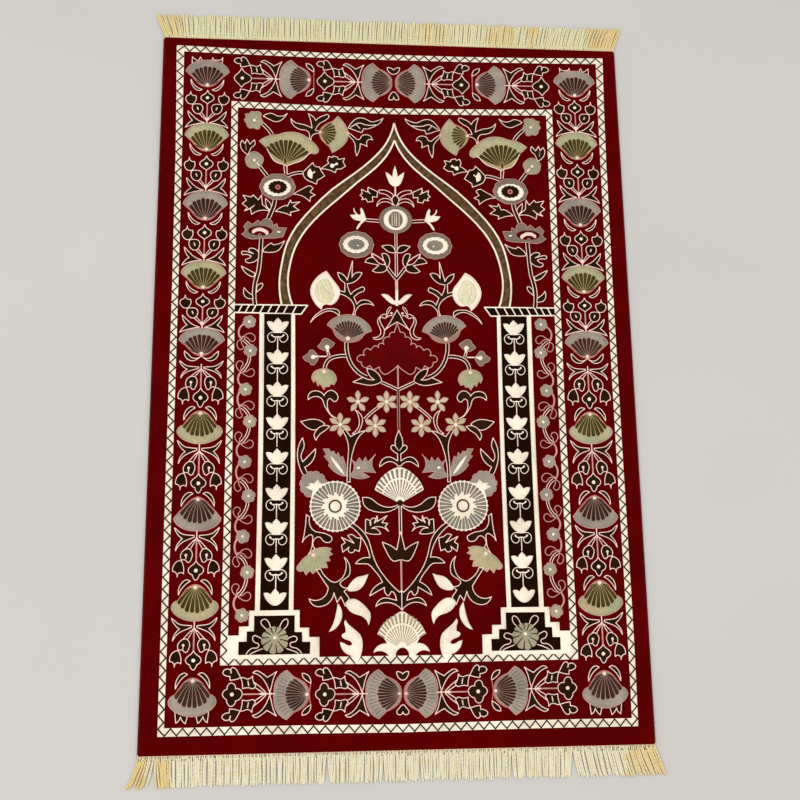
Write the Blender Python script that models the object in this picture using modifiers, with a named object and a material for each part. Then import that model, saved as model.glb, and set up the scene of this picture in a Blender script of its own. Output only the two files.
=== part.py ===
"""Prayer rug: one flat pile carpet with a sewn-on fringe along each short end.

Metres, +Z up. The origin is on the surface under the middle of the rug. +Y points
from the foot end towards the niche end, and the underside of every piece lies at z = 0.
"""

import bpy

# The rug body, between the two fringes.
RUG_WIDTH = 0.800
RUG_LENGTH = 1.190
RUG_THICKNESS = 0.006
CORNER_RADIUS = 0.004
CORNER_SEGMENTS = 4
EDGE_ROUNDING = 0.0015
EDGE_SEGMENTS = 3

# Each fringe is one comb: a woven tape along the rug's end and the strings below it.
SEWING_GAP = 0.0003
TAPE_DEPTH = 0.008
STRING_LENGTH = 0.040
FRINGE_THICKNESS = 0.0022
TOOTH_PITCH = 0.008
TOOTH_ROOT_WIDTH = 0.0066
TOOTH_TIP_WIDTH = 0.0052

# How far the strings lean sideways, outwards from the rug's end to their tips.
# The rows run along the fringe: x of the string's root, sideways lean of its tip.
NEAR_LEAN = (
    (-0.400, -0.0170),
    (-0.392, -0.0160),
    (-0.377, -0.0080),
    (-0.371, 0.0050),
    (-0.335, 0.0010),
    (-0.150, 0.0000),
    (0.120, 0.0000),
    (0.265, -0.0010),
    (0.272, 0.0080),
    (0.340, 0.0100),
    (0.392, 0.0160),
    (0.400, 0.0170),
)
FAR_LEAN = (
    (-0.400, -0.0170),
    (-0.392, -0.0160),
    (-0.350, -0.0020),
    (-0.120, 0.0010),
    (0.110, 0.0040),
    (0.250, 0.0080),
    (0.392, 0.0160),
    (0.400, 0.0170),
)

CRIMSON = (0.140, 0.0020, 0.0040, 1.0)
IVORY = (0.830, 0.760, 0.560, 1.0)
PILE_ROUGHNESS = 0.92
COTTON_ROUGHNESS = 0.85


def clear_scene():
    """Removes every object of the scene the script starts in."""
    for old in list(bpy.data.objects):
        bpy.data.objects.remove(old, do_unlink=True)


def make_material(name, colour, roughness):
    """A plain Principled material for one sub-part."""
    material = bpy.data.materials.new(name)
    material.use_nodes = True
    shader = material.node_tree.nodes["Principled BSDF"]
    shader.inputs["Base Color"].default_value = colour
    shader.inputs["Roughness"].default_value = roughness
    shader.inputs["Metallic"].default_value = 0.0
    material.diffuse_color = colour
    return material


def bevel_edges(obj, name, width, segments, vertical):
    """Bevels either the upright corner edges or the edges of the top face."""
    weights = obj.data.attributes.new(f"bevel_weight_{name}", "FLOAT", "EDGE")
    points = obj.data.vertices
    for edge in obj.data.edges:
        ends = [points[index].co for index in edge.vertices]
        upright = abs(ends[0].z - ends[1].z) > 0.5 * RUG_THICKNESS
        at_top = min(end.z for end in ends) > 0.5 * RUG_THICKNESS
        weights.data[edge.index].value = float(upright if vertical else at_top)
    bevel = obj.modifiers.new(name, "BEVEL")
    bevel.limit_method = "WEIGHT"
    bevel.edge_weight = weights.name
    bevel.width = width
    bevel.segments = segments
    bevel.use_clamp_overlap = True


def make_rug_panel(parts):
    """The carpet itself, woven in one piece: rounded corners and softly rounded top edges."""
    bpy.ops.mesh.primitive_cube_add(size=1.0)
    panel = bpy.context.object
    panel.name = "rug_panel"
    panel.data.name = "rug_panel"
    panel.scale = (RUG_WIDTH, RUG_LENGTH, RUG_THICKNESS)
    panel.location = (0.0, 0.0, 0.5 * RUG_THICKNESS)
    bpy.ops.object.transform_apply(location=True, rotation=False, scale=True)
    bevel_edges(panel, "corners", CORNER_RADIUS, CORNER_SEGMENTS, vertical=True)
    bevel_edges(panel, "pile_edge", EDGE_ROUNDING, EDGE_SEGMENTS, vertical=False)
    panel.data.materials.append(make_material("crimson_pile", CRIMSON, PILE_ROUGHNESS))
    move_to(panel, parts)


def move_to(obj, collection):
    """Links an object to this collection only."""
    for old in list(obj.users_collection):
        old.objects.unlink(obj)
    collection.objects.link(obj)


def lean_at(rows, x):
    """The lean of the string rooted at x, read between the rows of a lean table."""
    for (left, left_lean), (right, right_lean) in zip(rows, rows[1:]):
        if x <= right:
            share = (x - left) / (right - left)
            return left_lean + share * (right_lean - left_lean)
    return rows[-1][1]


def comb_outline(rows):
    """The comb's outline in its own plane: tape at the top, teeth running down from it."""
    half = 0.5 * RUG_WIDTH
    teeth = round(RUG_WIDTH / TOOTH_PITCH)
    points = [(half, 0.0), (-half, 0.0), (-half, -TAPE_DEPTH)]
    for tooth in range(teeth):
        root_x = (tooth + 0.5) * TOOTH_PITCH - half
        tip_x = root_x + lean_at(rows, root_x)
        tip_y = -TAPE_DEPTH - STRING_LENGTH
        points.append((root_x - 0.5 * TOOTH_ROOT_WIDTH, -TAPE_DEPTH))
        points.append((tip_x - 0.5 * TOOTH_TIP_WIDTH, tip_y))
        points.append((tip_x + 0.5 * TOOTH_TIP_WIDTH, tip_y))
        points.append((root_x + 0.5 * TOOTH_ROOT_WIDTH, -TAPE_DEPTH))
    points.append((half, -TAPE_DEPTH))
    return points


def make_fringe(parts, name, rows, side, material):
    """One fringe comb, lying flat beyond the rug's end. side is -1 at the near end, 1 at the far."""
    curve = bpy.data.curves.new(name, "CURVE")
    curve.dimensions = "2D"
    curve.fill_mode = "BOTH"
    curve.extrude = 0.5 * FRINGE_THICKNESS
    outline = [(x, -side * y) for x, y in comb_outline(rows)]
    spline = curve.splines.new("POLY")
    spline.points.add(len(outline) - 1)
    for point, (x, y) in zip(spline.points, outline):
        point.co = (x, y, 0.0, 1.0)
    spline.use_cyclic_u = True
    fringe = bpy.data.objects.new(name, curve)
    fringe.location = (
        0.0,
        side * (0.5 * RUG_LENGTH + SEWING_GAP),
        0.5 * FRINGE_THICKNESS,
    )
    curve.materials.append(material)
    parts.objects.link(fringe)


def main():
    clear_scene()
    parts = bpy.data.collections.new("prayer_rug")
    bpy.context.scene.collection.children.link(parts)
    make_rug_panel(parts)
    cotton = make_material("ivory_cotton", IVORY, COTTON_ROUGHNESS)
    make_fringe(parts, "fringe_near", NEAR_LEAN, -1, cotton)
    make_fringe(parts, "fringe_far", FAR_LEAN, 1, cotton)


main()
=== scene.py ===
"""Prayer rug: a pile carpet with its pattern woven in, overcast sides and two cotton fringes.

The pattern is drawn in millimetres on the rug, with the origin in its middle and +y towards
the niche end. Only the left half, x <= 0, is drawn. The right half mirrors it and lies a
little to the right of a true mirror image, as woven.
"""
import math
import random
import re

import bpy
import numpy as np
from mathutils import Matrix, Vector
from mathutils.geometry import delaunay_2d_cdt


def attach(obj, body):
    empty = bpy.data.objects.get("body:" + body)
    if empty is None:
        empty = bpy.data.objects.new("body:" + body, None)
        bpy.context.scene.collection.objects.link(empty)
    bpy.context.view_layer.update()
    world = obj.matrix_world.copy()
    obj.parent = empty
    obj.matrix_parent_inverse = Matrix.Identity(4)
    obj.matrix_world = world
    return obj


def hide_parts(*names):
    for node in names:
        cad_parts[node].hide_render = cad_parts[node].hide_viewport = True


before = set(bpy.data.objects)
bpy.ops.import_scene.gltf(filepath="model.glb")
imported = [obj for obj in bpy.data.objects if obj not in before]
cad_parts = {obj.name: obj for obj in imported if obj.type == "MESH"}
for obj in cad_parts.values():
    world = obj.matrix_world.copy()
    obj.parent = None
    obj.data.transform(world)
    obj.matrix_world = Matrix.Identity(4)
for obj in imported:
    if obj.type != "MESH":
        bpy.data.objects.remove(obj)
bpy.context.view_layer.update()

MM = 0.001

# ---------------------------------------------------------------------------------------
# Sizes, in millimetres. The lean tables, x and lean, are the ones that the CAD fringes follow.

RUG_HALF_WIDTH, RUG_HALF_LENGTH = 400.0, 595.0
CORNER = 4.0
BACK_TOP = 2.6
PILE_FOOT, PILE_TOP = 2.3, 6.0
PILE_HALF_WIDTH, PILE_HALF_LENGTH = 398.0, 596.0
# The pile's edge drops by this much over its reach, and rows of points lie at both insets.
EDGE_DROP, EDGE_REACH, EDGE_INSET = 1.3, 4.0, 1.3
NET_STEP, EDGE_STEP, AXIS_COLUMN = 17.0, 6.0, -0.8
# The usual width of a drawn line, and how coarsely curves are cut into straight pieces.
LINE, COARSENESS = 1.3, 1.7
ZIGZAG_WIDTH = 2.15

WRAPS, WRAP_STEPS, WRAP_RADIUS, WRAP_BULGE = 396, 5, 2.35, 0.32
CORD_SIDES = 8
HEADING_RINGS, STITCH_PITCH = 801, 3.6
STRING_INSET = 1.6
TAPE_DEPTH, STRING_LENGTH = 8.0, 40.0
STRINGS, STRING_RINGS, STRING_RADIUS = 252, 24, 1.62
# How far from its middle a gap bends strings aside, and their twist in radians a metre.
GAP_REACH, PLY_TWIST = 14.0, 900.0
NEAR_LEAN = ((-400, -17), (-392, -16), (-377, -8), (-371, 5), (-335, 1), (-150, 0),
             (120, 0), (265, -1), (272, 8), (340, 10), (392, 16), (400, 17))
FAR_LEAN = ((-400, -17), (-392, -16), (-350, -2), (-120, 1), (110, 4), (250, 8), (392, 16),
            (400, 17))


# ---------------------------------------------------------------------------------------
# Paths

def read_path(path):
    """Points of a path as x, y and whether it is a corner.

    The path is such a list, a list of x, y pairs without corners, or text: x,y pairs, of
    which one that ends in ! is a corner.
    """
    if not isinstance(path, str):
        return [(*point, False)[:3] for point in path]
    pairs = [(word.rstrip("!").split(","), word.endswith("!")) for word in path.split()]
    return [(float(x), float(y), corner) for (x, y), corner in pairs]


# Rows of a spray. Where a place's near is below 1, the rows up to 30 lie closer to the origin
# by that share, those beyond give way, and the tip stays where it is.
SPRAY_ROWS = (-20.0, 0.0, 30.0, 77.0)


class Place:
    """Where a motif goes: stretched and turned about its own origin, then moved to x, y."""

    def __init__(self, x=0.0, y=0.0, turn=0.0, tall=1.0, side=1, near=1.0):
        self.x, self.y, self.turn, self.tall, self.side, self.near = x, y, turn, tall, side, near

    def carry(self, points):
        cos, sin = math.cos(math.radians(self.turn)), math.sin(math.radians(self.turn))
        low, foot, middle, tip = SPRAY_ROWS
        carried = []
        for x, y, corner in points:
            if self.near < 1:
                y = float(np.interp(y, SPRAY_ROWS, (low, foot, middle * self.near, tip)))
            x, y = x * self.side, y * self.tall
            carried.append((self.x + x * cos - y * sin, self.y + x * sin + y * cos, corner))
        return carried

    def both(self):
        """This place and the one that draws the motif's mirrored half."""
        return self, Place(self.x, self.y, self.turn, self.tall, -self.side, self.near)


HERE = Place()


def unit(x, y):
    """The direction x, y with the length 1."""
    length = math.hypot(x, y) or 1.0
    return x / length, y / length


def reflected(direction, chord):
    """The direction that mirrors this one about the chord, so that the curve is an arc."""
    twice = 2.0 * (direction[0] * chord[0] + direction[1] * chord[1])
    return twice * chord[0] - direction[0], twice * chord[1] - direction[1]


def smooth(points, closed=False):
    """A curve through the points, kinked only at corners, as close points."""
    count = len(points)
    spans = count if closed else count - 1
    moves = [(b[0] - a[0], b[1] - a[1]) for a, b in zip(points, points[1:] + points[:1])]
    lengths = [math.hypot(*move) for move in moves[:spans]]
    chords = [unit(*move) for move in moves[:spans]]
    headings = []
    for i in range(count):
        if points[i][2] or not closed and i in (0, count - 1):
            headings.append(None)
            continue
        before, after, wide, near = chords[i - 1], chords[i], lengths[i - 1], lengths[i]
        headings.append(unit(before[0] * near + after[0] * wide,
                             before[1] * near + after[1] * wide))
    curve = []
    for i in range(spans):
        a, b = points[i], points[(i + 1) % count]
        chord, length = chords[i], lengths[i]
        start, end = headings[i], headings[(i + 1) % count]
        if start is None and end is None:
            start = end = chord
        start = start or reflected(end, chord)
        end = end or reflected(start, chord)
        lean_a, lean_b = (max(-0.4, d[0] * chord[0] + d[1] * chord[1]) for d in (start, end))
        bend = math.acos(min(1.0, lean_a)) + math.acos(min(1.0, lean_b))
        pull_a, pull_b = 2.0 * length / (1.0 + lean_a), 2.0 * length / (1.0 + lean_b)
        curve.append(a)
        steps = max(1, math.ceil(math.sqrt(length * bend / COARSENESS)))
        for t in (k / steps for k in range(1, steps)):
            h0, h1 = 2 * t**3 - 3 * t**2 + 1, t**3 - 2 * t**2 + t
            h2, h3 = 3 * t**2 - 2 * t**3, t**3 - t**2
            curve.append(tuple(
                h0 * a[n] + h1 * pull_a * start[n] + h2 * b[n] + h3 * pull_b * end[n]
                for n in (0, 1)) + (False,))
    return curve if closed else curve + points[-1:]


# ---------------------------------------------------------------------------------------
# The pattern: flat shapes, each in one yarn

class Pattern:
    """Flat shapes on the rug. A later shape covers an earlier one."""

    def __init__(self):
        self.shapes, self.yarns = [], []

    def add(self, points, yarn):
        """Adds a polygon, turned anticlockwise, unless it has next to no area."""
        area = sum(a[0] * b[1] - b[0] * a[1] for a, b in zip(points, points[1:] + points[:1]))
        if abs(area) > 2e-4:
            self.shapes.append(points if area > 0 else points[::-1])
            self.yarns.append(yarn)

    def fill(self, curve, yarn):
        self.add([(x, y) for x, y, _ in curve], yarn)

    def disc(self, x, y, radius, yarn, wide=1.0, at=HERE):
        """A disc, or an ellipse that is wide times as wide as high, with more sides if large."""
        count = max(6, int(5 + radius * 1.1))
        angles = [math.tau * k / count for k in range(count)]
        self.fill(at.carry([(x + radius * wide * math.cos(angle), y + radius * math.sin(angle),
                             False) for angle in angles]), yarn)

    def stroke(self, curve, width, yarn, closed=False):
        """A line of this width along a curve, drawn as short quads with round corners."""
        runs, run = [], [curve[0]]
        for point in curve[1:] + (curve[:1] if closed else []):
            run.append(point)
            if point[2]:
                runs.append(run)
                run = [point]
        if len(run) > 1:
            runs.append(run)
        whole = closed and len(runs) == 1 and not curve[0][2]
        for run in runs:
            sides = []
            for i, point in enumerate(run):
                before = run[i - 1] if i else (run[-2] if whole else None)
                after = run[i + 1] if i + 1 < len(run) else (run[1] if whole else None)
                one = unit(point[0] - before[0], point[1] - before[1]) if before else None
                two = unit(after[0] - point[0], after[1] - point[1]) if after else None
                one, two = one or two, two or one
                along = unit(one[0] + two[0], one[1] + two[1])
                stretch = 0.5 * width / max(0.75, along[0] * one[0] + along[1] * one[1])
                nx, ny = -along[1] * stretch, along[0] * stretch
                sides.append(((point[0] + nx, point[1] + ny), (point[0] - nx, point[1] - ny)))
            for (a, b), (c, d) in zip(sides, sides[1:]):
                self.quad(a, b, d, c, yarn)
            for point in () if whole else (run[0], run[-1]):
                if point[2] or closed:
                    self.disc(point[0], point[1], 0.5 * width, yarn)

    def quad(self, a, b, c, d, yarn):
        """A quad, or two triangles if it isn't convex."""
        turns = [(q[0] - p[0]) * (r[1] - q[1]) - (q[1] - p[1]) * (r[0] - q[0])
                 for p, q, r in ((a, b, c), (b, c, d), (c, d, a), (d, a, b))]
        convex = min(turns) > 1e-6 or max(turns) < -1e-6
        for points in ([a, b, c, d],) if convex else ([a, b, c], [a, c, d]):
            self.add(points, yarn)

    def form(self, path, yarn="umber", edge="outline", width=LINE, at=HERE):
        """A filled outline with a line round it."""
        curve = smooth(at.carry(read_path(path)), closed=True)
        if yarn:
            self.fill(curve, yarn)
        if edge:
            self.stroke(curve, width, edge, closed=True)

    def half(self, path, *look, at=HERE):
        """A form from its left half, which starts and ends on the axis x = 0."""
        left = read_path(path)
        right = [(-x, y, corner) for x, y, corner in reversed(left) if abs(x) > 1e-6]
        self.form(left + right, *look, at=at)

    def line(self, path, width=LINE, yarn="outline", at=HERE):
        self.stroke(smooth(at.carry(read_path(path))), width, yarn)

    def stem(self, path, width, core="umber", line=LINE, at=HERE):
        """A stalk: two lines with a core between them."""
        self.line(path, width, at=at)
        self.line(path, width - 2.0 * line, core, at)

    def draw(self, text, *places):
        """Draws the shapes that the text lists, at each place.

        A shape is the name of a method above, its values after the path, a colon and the
        path, which is one x,y pair for a disc. A # starts a comment.
        """
        for at in places or (HERE,):
            for kind, look, path in re.findall(r"([a-z]+)([^:]*):([^a-z#]*)",
                                               re.sub("#.*", "", text)):
                look = [None if word == "none" else float(word) if word[0].isdigit() else word
                        for word in look.split()]
                start = read_path(path)[0][:2] if kind == "disc" else (path,)
                getattr(self, kind)(*start, *look, at=at)


def leaf(rug, base, tip, width, bend=0.0, yarn="umber", edge="outline", line=LINE, full=0.85):
    """A leaf along a bent spine, widest nearer its tip where full is above 1."""
    length = math.dist(base, tip)
    along = unit(tip[0] - base[0], tip[1] - base[1])

    def spot(share, off, corner=False):
        off += 4.0 * bend * share * (1.0 - share)
        return (base[0] + along[0] * length * share - along[1] * off,
                base[1] + along[1] * length * share + along[0] * off, corner)

    sides = [(share, 0.5 * width * math.sin(math.pi * share**full))
             for share in (0.16, 0.42, 0.7, 0.88)]
    left = [spot(share, off) for share, off in sides]
    right = [spot(share, -off) for share, off in reversed(sides)]
    rug.form([spot(0, 0, True)] + left + [spot(1, 0, True)] + right, yarn, edge, line)


def flower(rug, x, y, radius, petals, yarn, edge=None, dot=0.0, depth=0.16, wide=1.0, turn=0.0,
           line=0.9, droop=0.0):
    """A flower in one piece with round petals and a cream dot. droop lengthens the lower ones."""
    points = []
    for k in range(petals):
        for share, reach in ((-0.5, 1.0 - depth), (-0.3, 0.97), (0.0, 1.0), (0.3, 0.97)):
            angle = math.radians(turn) + math.tau * (k + share) / petals
            reach *= radius * (1.0 - droop * math.sin(angle))
            points.append((x + wide * reach * math.cos(angle), y + reach * math.sin(angle),
                           share == -0.5))
    rug.form(points, yarn, edge, line)
    if dot:
        rug.disc(x, y, dot * radius, "cream")


def star_flower(rug, x, y, radius, petals):
    """A flower of separate long petals, the first of which points up."""
    for k in range(petals):
        angle = math.radians(90.0) + math.tau * k / petals
        tip = (x + radius * math.cos(angle), y + radius * math.sin(angle))
        leaf(rug, (x, y), tip, 8.6, yarn="petal", edge="blush", line=0.8, full=1.45)
    rug.disc(x, y, 4.2, "petal")
    rug.disc(x, y, 2.7, "cream")


def daisy(rug, x, y, radius, petals, yarn, stripe, inner, thin, thick, dot=3.0, dot_yarn="cream",
          droop=0.0):
    """A round flower with a dark stripe along each petal. thin and thick are a stripe's ends."""
    flower(rug, x, y, radius, petals, yarn, depth=0.16 if petals < 20 else 0.035, droop=droop)
    for k in range(petals):
        angle = math.tau * (k + 0.5) / petals
        reach = radius * (1.0 - droop * math.sin(angle))
        low, high = (inner + 0.06 * (k % 3)) * reach, 0.91 * reach
        cos, sin = math.cos(angle), math.sin(angle)
        wedge = ((low, -thin), (high, -thick), (high + 0.8, 0), (high, thick), (low, thin))
        rug.add([(x + r * cos - off * sin, y + r * sin + off * cos) for r, off in wedge], stripe)
    rug.disc(x, y, dot, dot_yarn)


def pleated(rug, half, pivot, spread, pleats, rim, fold=0.70, yarn="ash", inner=0.42, outer=0.52):
    """A cream fan with pleats in two tiers, which meet at the share fold of its height.

    inner and outer are how much of each pleat's width is dark in the two tiers.
    """
    rug.half(half, "cream", None)
    pitch = math.radians(2.0 * spread / pleats)
    for k in range(pleats // 2 + 1):
        share = 2.0 * (k + 0.5) / pleats - 1.0
        angle = math.radians(spread * share)
        edge = rim - 14.0 * abs(share) ** 1.6
        for low, high, part in ((0.2, fold - 0.03, inner), (fold + 0.03, 0.97, outer)):
            half_turn = 0.5 * part * pitch
            rug.add([(pivot[0] + math.sin(angle + turn) * r * edge,
                      pivot[1] + math.cos(angle + turn) * r * edge)
                     for turn, r in ((-half_turn, low), (-half_turn, high), (0.0, high + 0.02),
                                     (half_turn, high), (half_turn, low))], yarn)


# Left halves of the fans' outlines: pivot at 0,0 and the rim above it.
FAN = ("0,0 -8.5,1.6 -15.5,6.9 -21,12.8 -26,18.8 -31,23! -37,29.3! -35.5,34.5 -30.5,41 -21.5,48 "
       "-10.5,51.2 0,52")
STRAIGHT_FAN = "0,0 -6,2 -14,8 -22,17 -30,25! -37,34! -35,40 -26,48 -14,53 0,54"
BELL_FAN = ("0,0 -7,1.7 -15,8 -21.5,16.5 -26.5,23.5! -34.5,28.5 -36.3,33.5 -31.5,42.5 -21,49.3 "
            "-10.5,53 0,54")
BAND_FAN = "0,0 -9.5,1.3 -16,5.5 -21.5,12.5 -26,22.5! -36.8,34! -29,45.5 -19,51.5 -9,53.6 0,54"
ROUND_FAN = "0,0 -13,2.7 -22.5,10 -26.5,17.5 -30,20.5! -37,24.5! -34,31 -24,40 -14,45 0,47.5"
TREE_FAN = "0,0 -6.5,2 -13.5,6.5 -19,13 -24.5,21.5! -34.5,28! -26,38 -15,46.5 -5,50.3 0,50.5"


def ribs(rug, at, yarn, left, right, wedges=8, spread=53.0, reach=36.0, short=2.5, rib=1.5,
         pivot=3.5, curl=0.45, slivers=True):
    """The ribbed part of a fan between its left and right hem: dark wedges with light ribs.

    The wedges fan out by spread degrees to each side. They reach that far from the pivot, and
    less at the sides by short. rib is the width of the ribs between them, curl bends them
    inwards near their tips, and slivers are the dark strips along the hems.
    """
    def spots(places):
        """Carried points from their angle and distance at the pivot."""
        bent = [(angle * (1.0 + curl * (1.0 - r / reach)), r) for angle, r in places]
        return at.carry([(math.sin(angle) * r, pivot + math.cos(angle) * r, False)
                         for angle, r in bent])

    step = math.radians(2.0 * spread / wedges)
    ends = []
    for k in range(wedges):
        side = abs(2.0 * (k + 0.5) / wedges - 1.0)
        ends.append((step * (k + 0.5 - 0.5 * wedges), reach - short * side**4))
    rug.fill(left + spots([(angle, end - 1.0) for angle, end in ends]) + right, "rib_" + yarn)
    for k, (angle, end) in enumerate(ends):
        end += 0.4 if k % 2 else -0.4
        wide = 0.5 * (step - rib / end)
        half = [(0.34 * step, 7.0), (0.42 * step, 0.5 * end), (wide, end - 2.5), (0.5 * wide, end)]
        rug.fill(spots([(angle, 2.5)] + [(angle - off, r) for off, r in half]
                       + [(angle + off, r) for off, r in reversed(half)]), "shade_" + yarn)
    for side in (-1.06, 1.06) if slivers else ():
        angle = side * math.radians(spread)
        sliver = ((3.0, 0.0), (9.0, 0.34), (16.0, 0.24), (0.68 * reach, 0.0), (16.0, -0.24),
                  (9.0, -0.34))
        rug.fill(spots([(angle + off * step, r) for r, off in sliver]), "shade_" + yarn)


def fan(rug, at, yarn, half=FAN, dot=3.0, pivot=3.5, rim_lines=0, **shape):
    """A palmette fan: a plain rim, a ribbed middle, a pink hem and a light dot."""
    points = read_path(half)
    hem = points[:next(i for i, p in enumerate(points) if p[2]) + 1]
    rug.half(half, yarn, "blush", 1.0, at=at)
    left, right = (smooth(side.carry(hem)) for side in at.both())
    ribs(rug, at, yarn, left, right[::-1], pivot=pivot, **shape)
    for k in range(rim_lines):
        angle = math.radians(44.0 * (2.0 * (k + 0.5) / rim_lines - 1.0))
        ray = [(math.sin(angle) * r, pivot + math.cos(angle) * r) for r in (36.0, 46.5)]
        rug.line(ray, 0.6, "shade_" + yarn, at)
    for side in at.both():
        rug.line(hem, 1.4, "rose", side)
    if dot:
        rug.disc(0, pivot, dot, "outline", at=at)


def rising_spray(rug, at):
    """The spray on the rim of an upward fan: a flower, two buds, two tulips, forked leaves."""
    rug.draw("""
    form: -4,1.5! -19.5,9.5 -27,17.5 -32.5,23.5! -31,15.5 -24.5,5.5! -31,0 -36,-8! -28.5,-4.5 -12,0.3
    line: -13.5,18.5 -1.5,6.5
    line: -9.5,20.5 -1,9
    form: -24.5,36! -16,37.3 -10.5,36 -7.5,31.5 -8,25.5 -11.5,19.5 -15,18.2 -21,20.5 -24.7,26 -25.5,31.5
    line 2: -17,31.5 -15,26
    form: -24,37! -30,37 -36,43 -37,47.5 -35,52.5! -31.5,54 -28.8,61! -25.8,54 -20,53! -19,46.5 -21,41
    """, *at.both())
    rug.draw("""
    line 2.2 blush: 0,9 0,38
    line 2: 0,0 0,8
    half outline none: 0,3.5! -3.2,7.5 -3.6,10 0,11.5
    half: 0,37.5! -2.5,40 -7,43 -11.3,48.5 -10.5,52 -3,58 0,64!
    disc 3 cream: 0,49.5
    """, at)


def hanging_spray(rug, at):
    """The spray below a downward fan, drawn with its own y pointing away from the fan."""
    rug.draw("form outline none: 0,9.5! -3,13 -6.5,17! 0,15.5! 6.5,17! 3,13", at)
    rug.draw("""
    form: -4,7! -14,6.2 -24,4 -31,-2 -35,-5.2! -32,2 -22.4,12! -27.6,17.4 -31,23.2 -32.4,30.6!
      -29,24.2 -22,17.4 -12,12.8 -4,9.7!
    line: -4.5,14.5 -16.5,27.5
    line: -3,17 -9.5,28
    form: -12,27.5 -19,29.5 -24,36 -23,45! -17,45 -12,49 -7.5,43 -6,37 -8.5,30
    disc 2.3 outline: -16,37.5
    line 1.6: -16,38 -16,44
    form: -23.4,45.5! -31,48.4 -35.3,55 -35.8,62.5! -32,63.5 -28.4,71.3! -25.6,64.8 -19,66.3!
      -18.8,58 -21,50
    """, *at.both())
    rug.draw("""
    line 1.8: 0,0 0,12
    line 2.4 blush: 0,13 0,46
    half: 0,46.5! -3,51 -9,55.5 -12,60.5 -10,65.5 -5.5,68! -3.5,73 0,76.5
    disc 3.1 cream: 0,61.5
    """, at)


# Where the middle of the side border runs, as woven: y, x.
BORDER_LINE = ((-540, -320), (-100, -319.3), (50, -320.3), (400, -320.5), (480, -322),
               (540, -322.7))


def place_on(line, y):
    """The x at which a line given as y, x rows passes y."""
    return float(np.interp(y, *zip(*line)))


def side_border(rug):
    """One long side of the wide border: fans in turn grey and sage, turned over at the middle."""
    for pivot, rim, yarn in ((504, 554.5, "grey"), (384.5, 436, "sage"), (260, 311.5, "grey"),
                             (139.5, 188.5, "sage"), (26, 72.5, "grey")):
        at = Place(place_on(BORDER_LINE, rim), pivot, tall=(rim - pivot) / 52)
        if rim > 550:
            rug.draw("""
            form: -27,45! -26.7,57.5! -22,53 -16,50!
            form: -16,50! -13,57.5! -9.5,50!
            form: 7,50! 8,57! 11,52.5 16,52.5 21,52.5 25.3,57.5! 24.5,45!
            """, at)
        fan(rug, at, yarn)
        if pivot > 100:
            rug.draw("form: -28,13.5! -21.5,2.5 -15.5,-2.5 -8.5,-5.5! -13,-7.7 -17,-6.9 -23,-1.7 "
                     "-27,5.5", *at.both())
    rug.draw("form: 0,1! -6,-4.5 -12.5,-8 -20,-6.5 -25.5,-1.5 -27.3,8.5! -21.5,3.5 -15.5,-2.5 -8,-4",
             *Place(place_on(BORDER_LINE, 25), 25).both())
    for pivot, rim, yarn, half in ((-66, -120, "sage", BELL_FAN), (-205, -259, "grey", STRAIGHT_FAN),
                                   (-342, -398, "sage", BELL_FAN), (-483, -540, "grey", BELL_FAN)):
        at = Place(place_on(BORDER_LINE, pivot), pivot, turn=180, tall=(pivot - rim) / 54)
        if rim < -530:
            rug.draw("form: -25.5,46! -24.5,56 -23.5,62.5! -20.5,60.5 -17,54! -12.5,61 -9.5,63.5! "
                     "-7,55 -6.5,50!", *at.both())
        fan(rug, at, yarn, half, spread=52, reach=38, short=5, rib=1.9, pivot=4)
        rug.draw("form: -25.8,15! -21.5,7 -15.5,0 -8,-5! -13,-7.2 -20,-3.7 -25,4.5", *at.both())
    for base, height in ((435.5, 62), (312, 64), (188.5, 64), (72.5, 59)):
        rising_spray(rug, Place(place_on(BORDER_LINE, base + 30), base, tall=height / 64))
    for base, height, near in ((12, 72, 0.8), (-120, 78.5, 1.0), (-259, 76, 1.0), (-398, 73, 1.0)):
        hanging_spray(rug, Place(place_on(BORDER_LINE, base - 40), base, turn=180,
                                 tall=height / 76, near=near))


# A band spray's flower, about its own dot.
TOP_FLOWER = "-1,18.5! -5.5,11 -14,0 -5,-12.5 -1,-17.5! 5,-10.5 13,-6 16,0 13,5 5,10"
LOW_FLOWER = ("-2,17 -7,12 -7.5,8! -12,5.5 -14.5,0.5 -12,-4.5 -8,-7.5! -7,-12.5 -1,-17.5 5,-13 6,-9.5! "
              "14,-4.5 15,4 5.5,8.5! 4,14")


def band_spray(rug, x, y, flower_path):
    """A spray from a fan's rim, which is at its right, to the flower at x, y."""
    rug.draw("""
    form: 57.5,2! 52.5,14 46,23.5 38,29.5 31.5,31.5! 36,34.5 45,31 53.5,24.5! 60,28 68,33! 62.5,21 59.5,8
    line 1.4: 33,18 43,10.5 52,2
    line 1.4: 33,11 48,1.5
    form: 13,24.5! 18,24.5 23,22.5 31,27! 32,19.5 36,12.5! 32,8 26,9.5 16,8.5! 15.5,16.5
    line 1.7: 24,20 25.5,12
    form: -3,21! -3.5,27! -11,28.5 -14.5,32.5 -12,36.5 -2.5,36! 0,40 5,38 9,32 13,24.5! 5,22
    line 1.6: -2.5,36 -1.5,31
    """, Place(x, y), Place(x, y, tall=-1.0))
    rug.draw(f"""
    line 2.2 blush: 15,0 42,0
    line 2.7: 42,0 52,0
    line 1.5: 52,0 66,0
    disc 2.3 outline: 50.5,0
    disc 2.1 outline: 58.5,0
    form: {flower_path}
    disc 3.1 cream: 0,0
    """, Place(x, y))


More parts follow.
